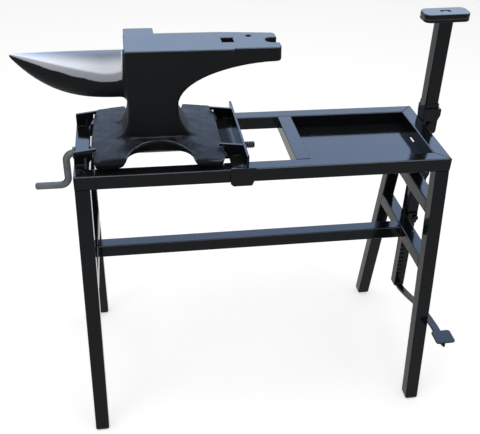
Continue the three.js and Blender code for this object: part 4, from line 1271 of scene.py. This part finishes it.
def cap_plastic():
    material, root, place = start_finish("cap_plastic")
    cloud = noise(place, 60.0, 4.0)
    skin = noise(place, 900.0, 2.0)
    scuff = ramp(noise(place, 140.0, 4.0, 0.7), 0.58, 0.7)
    colour = blend(cloud, grey(0.008), grey(0.014))
    colour = blend(scuff * 0.4, colour, grey(0.045))
    bump = root.node("Bump", {}, {"Strength": 0.15, "Distance": 0.0005, "Height": skin})
    end_finish(root, root.node("BsdfPrincipled", {}, {
        "Base Color": colour, "Roughness": 0.45 + 0.2 * cloud + 0.1 * scuff, "Normal": bump,
        "Specular IOR Level": 0.35}))
    return material


finishes = {"frame_paint": gloss_paint(), "anvil_iron": anvil_iron(),
            "zinc_steel": zinc_plate(), "foot_plastic": cap_plastic()}
for piece in pieces.values():
    piece.data.materials.clear()
    piece.data.materials.append(finishes[piece["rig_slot"]])
print("finishes on", len(pieces), "pieces")

# %% [markdown]
# ## Studio
# The floor is a wide pale sheet that shades to white. A large soft light stands behind and above, so
# that level faces carry its reflection while upright ones stay dark, and a weaker one fills from the
# left of the camera.

# %% Floor and world
def white_floor():
    material, root, place = start_finish("white_floor")
    paper = noise(place, 30.0, 3.0)
    colour = blend(paper, grey(0.8), grey(0.82))
    diffuse = root.node("BsdfDiffuse", {}, {"Color": colour})
    path = root.node("LightPath", out=0)
    lights = path.socket.node.outputs
    seen = path + Wire(root.tree, lights["Is Glossy Ray"]) + Wire(root.tree, lights["Is Transmission Ray"])
    seen = root.node("Clamp", {}, {0: seen})
    glow = root.node("Emission", {}, {"Strength": 0.56})
    lit = root.node("AddShader", {}, {0: diffuse, 1: glow})
    end_finish(root, root.node("MixShader", {}, {0: seen, 1: diffuse, 2: lit}))
    return material


FLOOR_HALF = 9.0
floor_mesh = bpy.data.meshes.new("studio_floor")
floor_points = FLOOR_HALF * np.array([(-1, -1), (1, -1), (1, 1), (-1, 1)], float)
floor_mesh.from_pydata(np.column_stack([floor_points, np.full(4, -0.0005)]).tolist(), [], [(0, 1, 2, 3)])
floor = bpy.data.objects.new("studio_floor", floor_mesh)
bpy.context.scene.collection.objects.link(floor)
floor_mesh.materials.append(white_floor())

world = bpy.data.worlds.new("studio_world")
world.use_nodes = True
world.node_tree.nodes.clear()
root = Wire(world.node_tree)
path = root.node("LightPath", out=0)
lights = path.socket.node.outputs
seen = path + Wire(root.tree, lights["Is Glossy Ray"]) + Wire(root.tree, lights["Is Transmission Ray"])
seen = root.node("Clamp", {}, {0: seen})
sky = root.node("Background", {}, {"Color": (1.0, 1.0, 1.0, 1.0), "Strength": 0.35 + 0.65 * seen})
root.node("OutputWorld", {}, {"Surface": sky})
bpy.context.scene.world = world

# %% Soft lights
def soft_light(name, place, aim, width, height, watts, colour):
    """A rectangle of light at place, facing aim."""
    lamp = bpy.data.lights.new(name, "AREA")
    lamp.shape = "RECTANGLE"
    lamp.size, lamp.size_y, lamp.energy, lamp.color = width, height, watts, colour
    holder = bpy.data.objects.new(name, lamp)
    bpy.context.scene.collection.objects.link(holder)
    facing = (Vector(aim) - Vector(place)).to_track_quat("-Z", "Y")
    holder.matrix_world = Matrix.Translation(place) @ facing.to_matrix().to_4x4()
    holder.visible_camera = False
    return holder


soft_light("overhead_softbox", (0.1, -0.2, 3.3), (0.1, 0.0, 0.0), 3.0, 3.0, 42.0, (1.0, 1.0, 1.0))
soft_light("left_softbox", (-2.2, -1.6, 2.2), (0.0, 0.0, 0.6), 1.2, 1.2, 8.0, (1.0, 0.98, 0.96))

card = soft_light("sky_card", (0.6, 3.1, 2.6), (0.0, 0.0, 0.65), 6.5, 3.4, 440.0, (1.0, 1.0, 1.0))
card.visible_diffuse = False
card.data.use_nodes = True
card.data.node_tree.nodes.clear()
root = Wire(card.data.node_tree)
across = root.node("NewGeometry", out=5)
rise = ramp(root.node("SeparateXYZ", {}, {0: across}, out=1), 0.1, 0.55)
sheen = blend(rise, (0.5, 0.7, 1.0, 1.0), (0.4, 0.6, 1.0, 1.0))
root.node("OutputLight", {}, {0: root.node("Emission", {}, {"Color": sheen, "Strength": 0.1 + 0.9 * rise})})

# %% [markdown]
# ## Camera
# The camera's place, turn and lens were worked out from the straight edges of the frame as the
# photograph shows them: it stands to the left, looks down by 34 degrees and is rolled a little.

# %% Camera
CAMERA_MM = np.array([-287.6, -1388.1, 1416.6])
YAW, PITCH_DOWN, ROLL = np.radians([10.279, 34.476, 2.387])
LENS = 36.0 * 713.5 / 480.0

look = np.array([np.sin(YAW) * np.cos(PITCH_DOWN), np.cos(YAW) * np.cos(PITCH_DOWN), -np.sin(PITCH_DOWN)])
level_right = np.cross(look, [0, 0, 1])
level_right /= np.linalg.norm(level_right)
level_up = np.cross(level_right, look)
right = np.cos(ROLL) * level_right + np.sin(ROLL) * level_up
up = np.cos(ROLL) * level_up - np.sin(ROLL) * level_right
turn = np.eye(4)
turn[:3, 0], turn[:3, 1], turn[:3, 2], turn[:3, 3] = right, up, -look, CAMERA_MM * MM + SHIFT

lens = bpy.data.cameras.new("photo_camera")
lens.lens, lens.sensor_width, lens.clip_end = LENS, 36.0, 60.0
camera = bpy.data.objects.new("photo_camera", lens)
bpy.context.scene.collection.objects.link(camera)
camera.matrix_world = Matrix(turn.tolist())
bpy.context.scene.camera = camera
bpy.context.scene.view_settings.view_transform = "Standard"
print("camera at", camera.matrix_world.translation, "lens", round(LENS, 2))
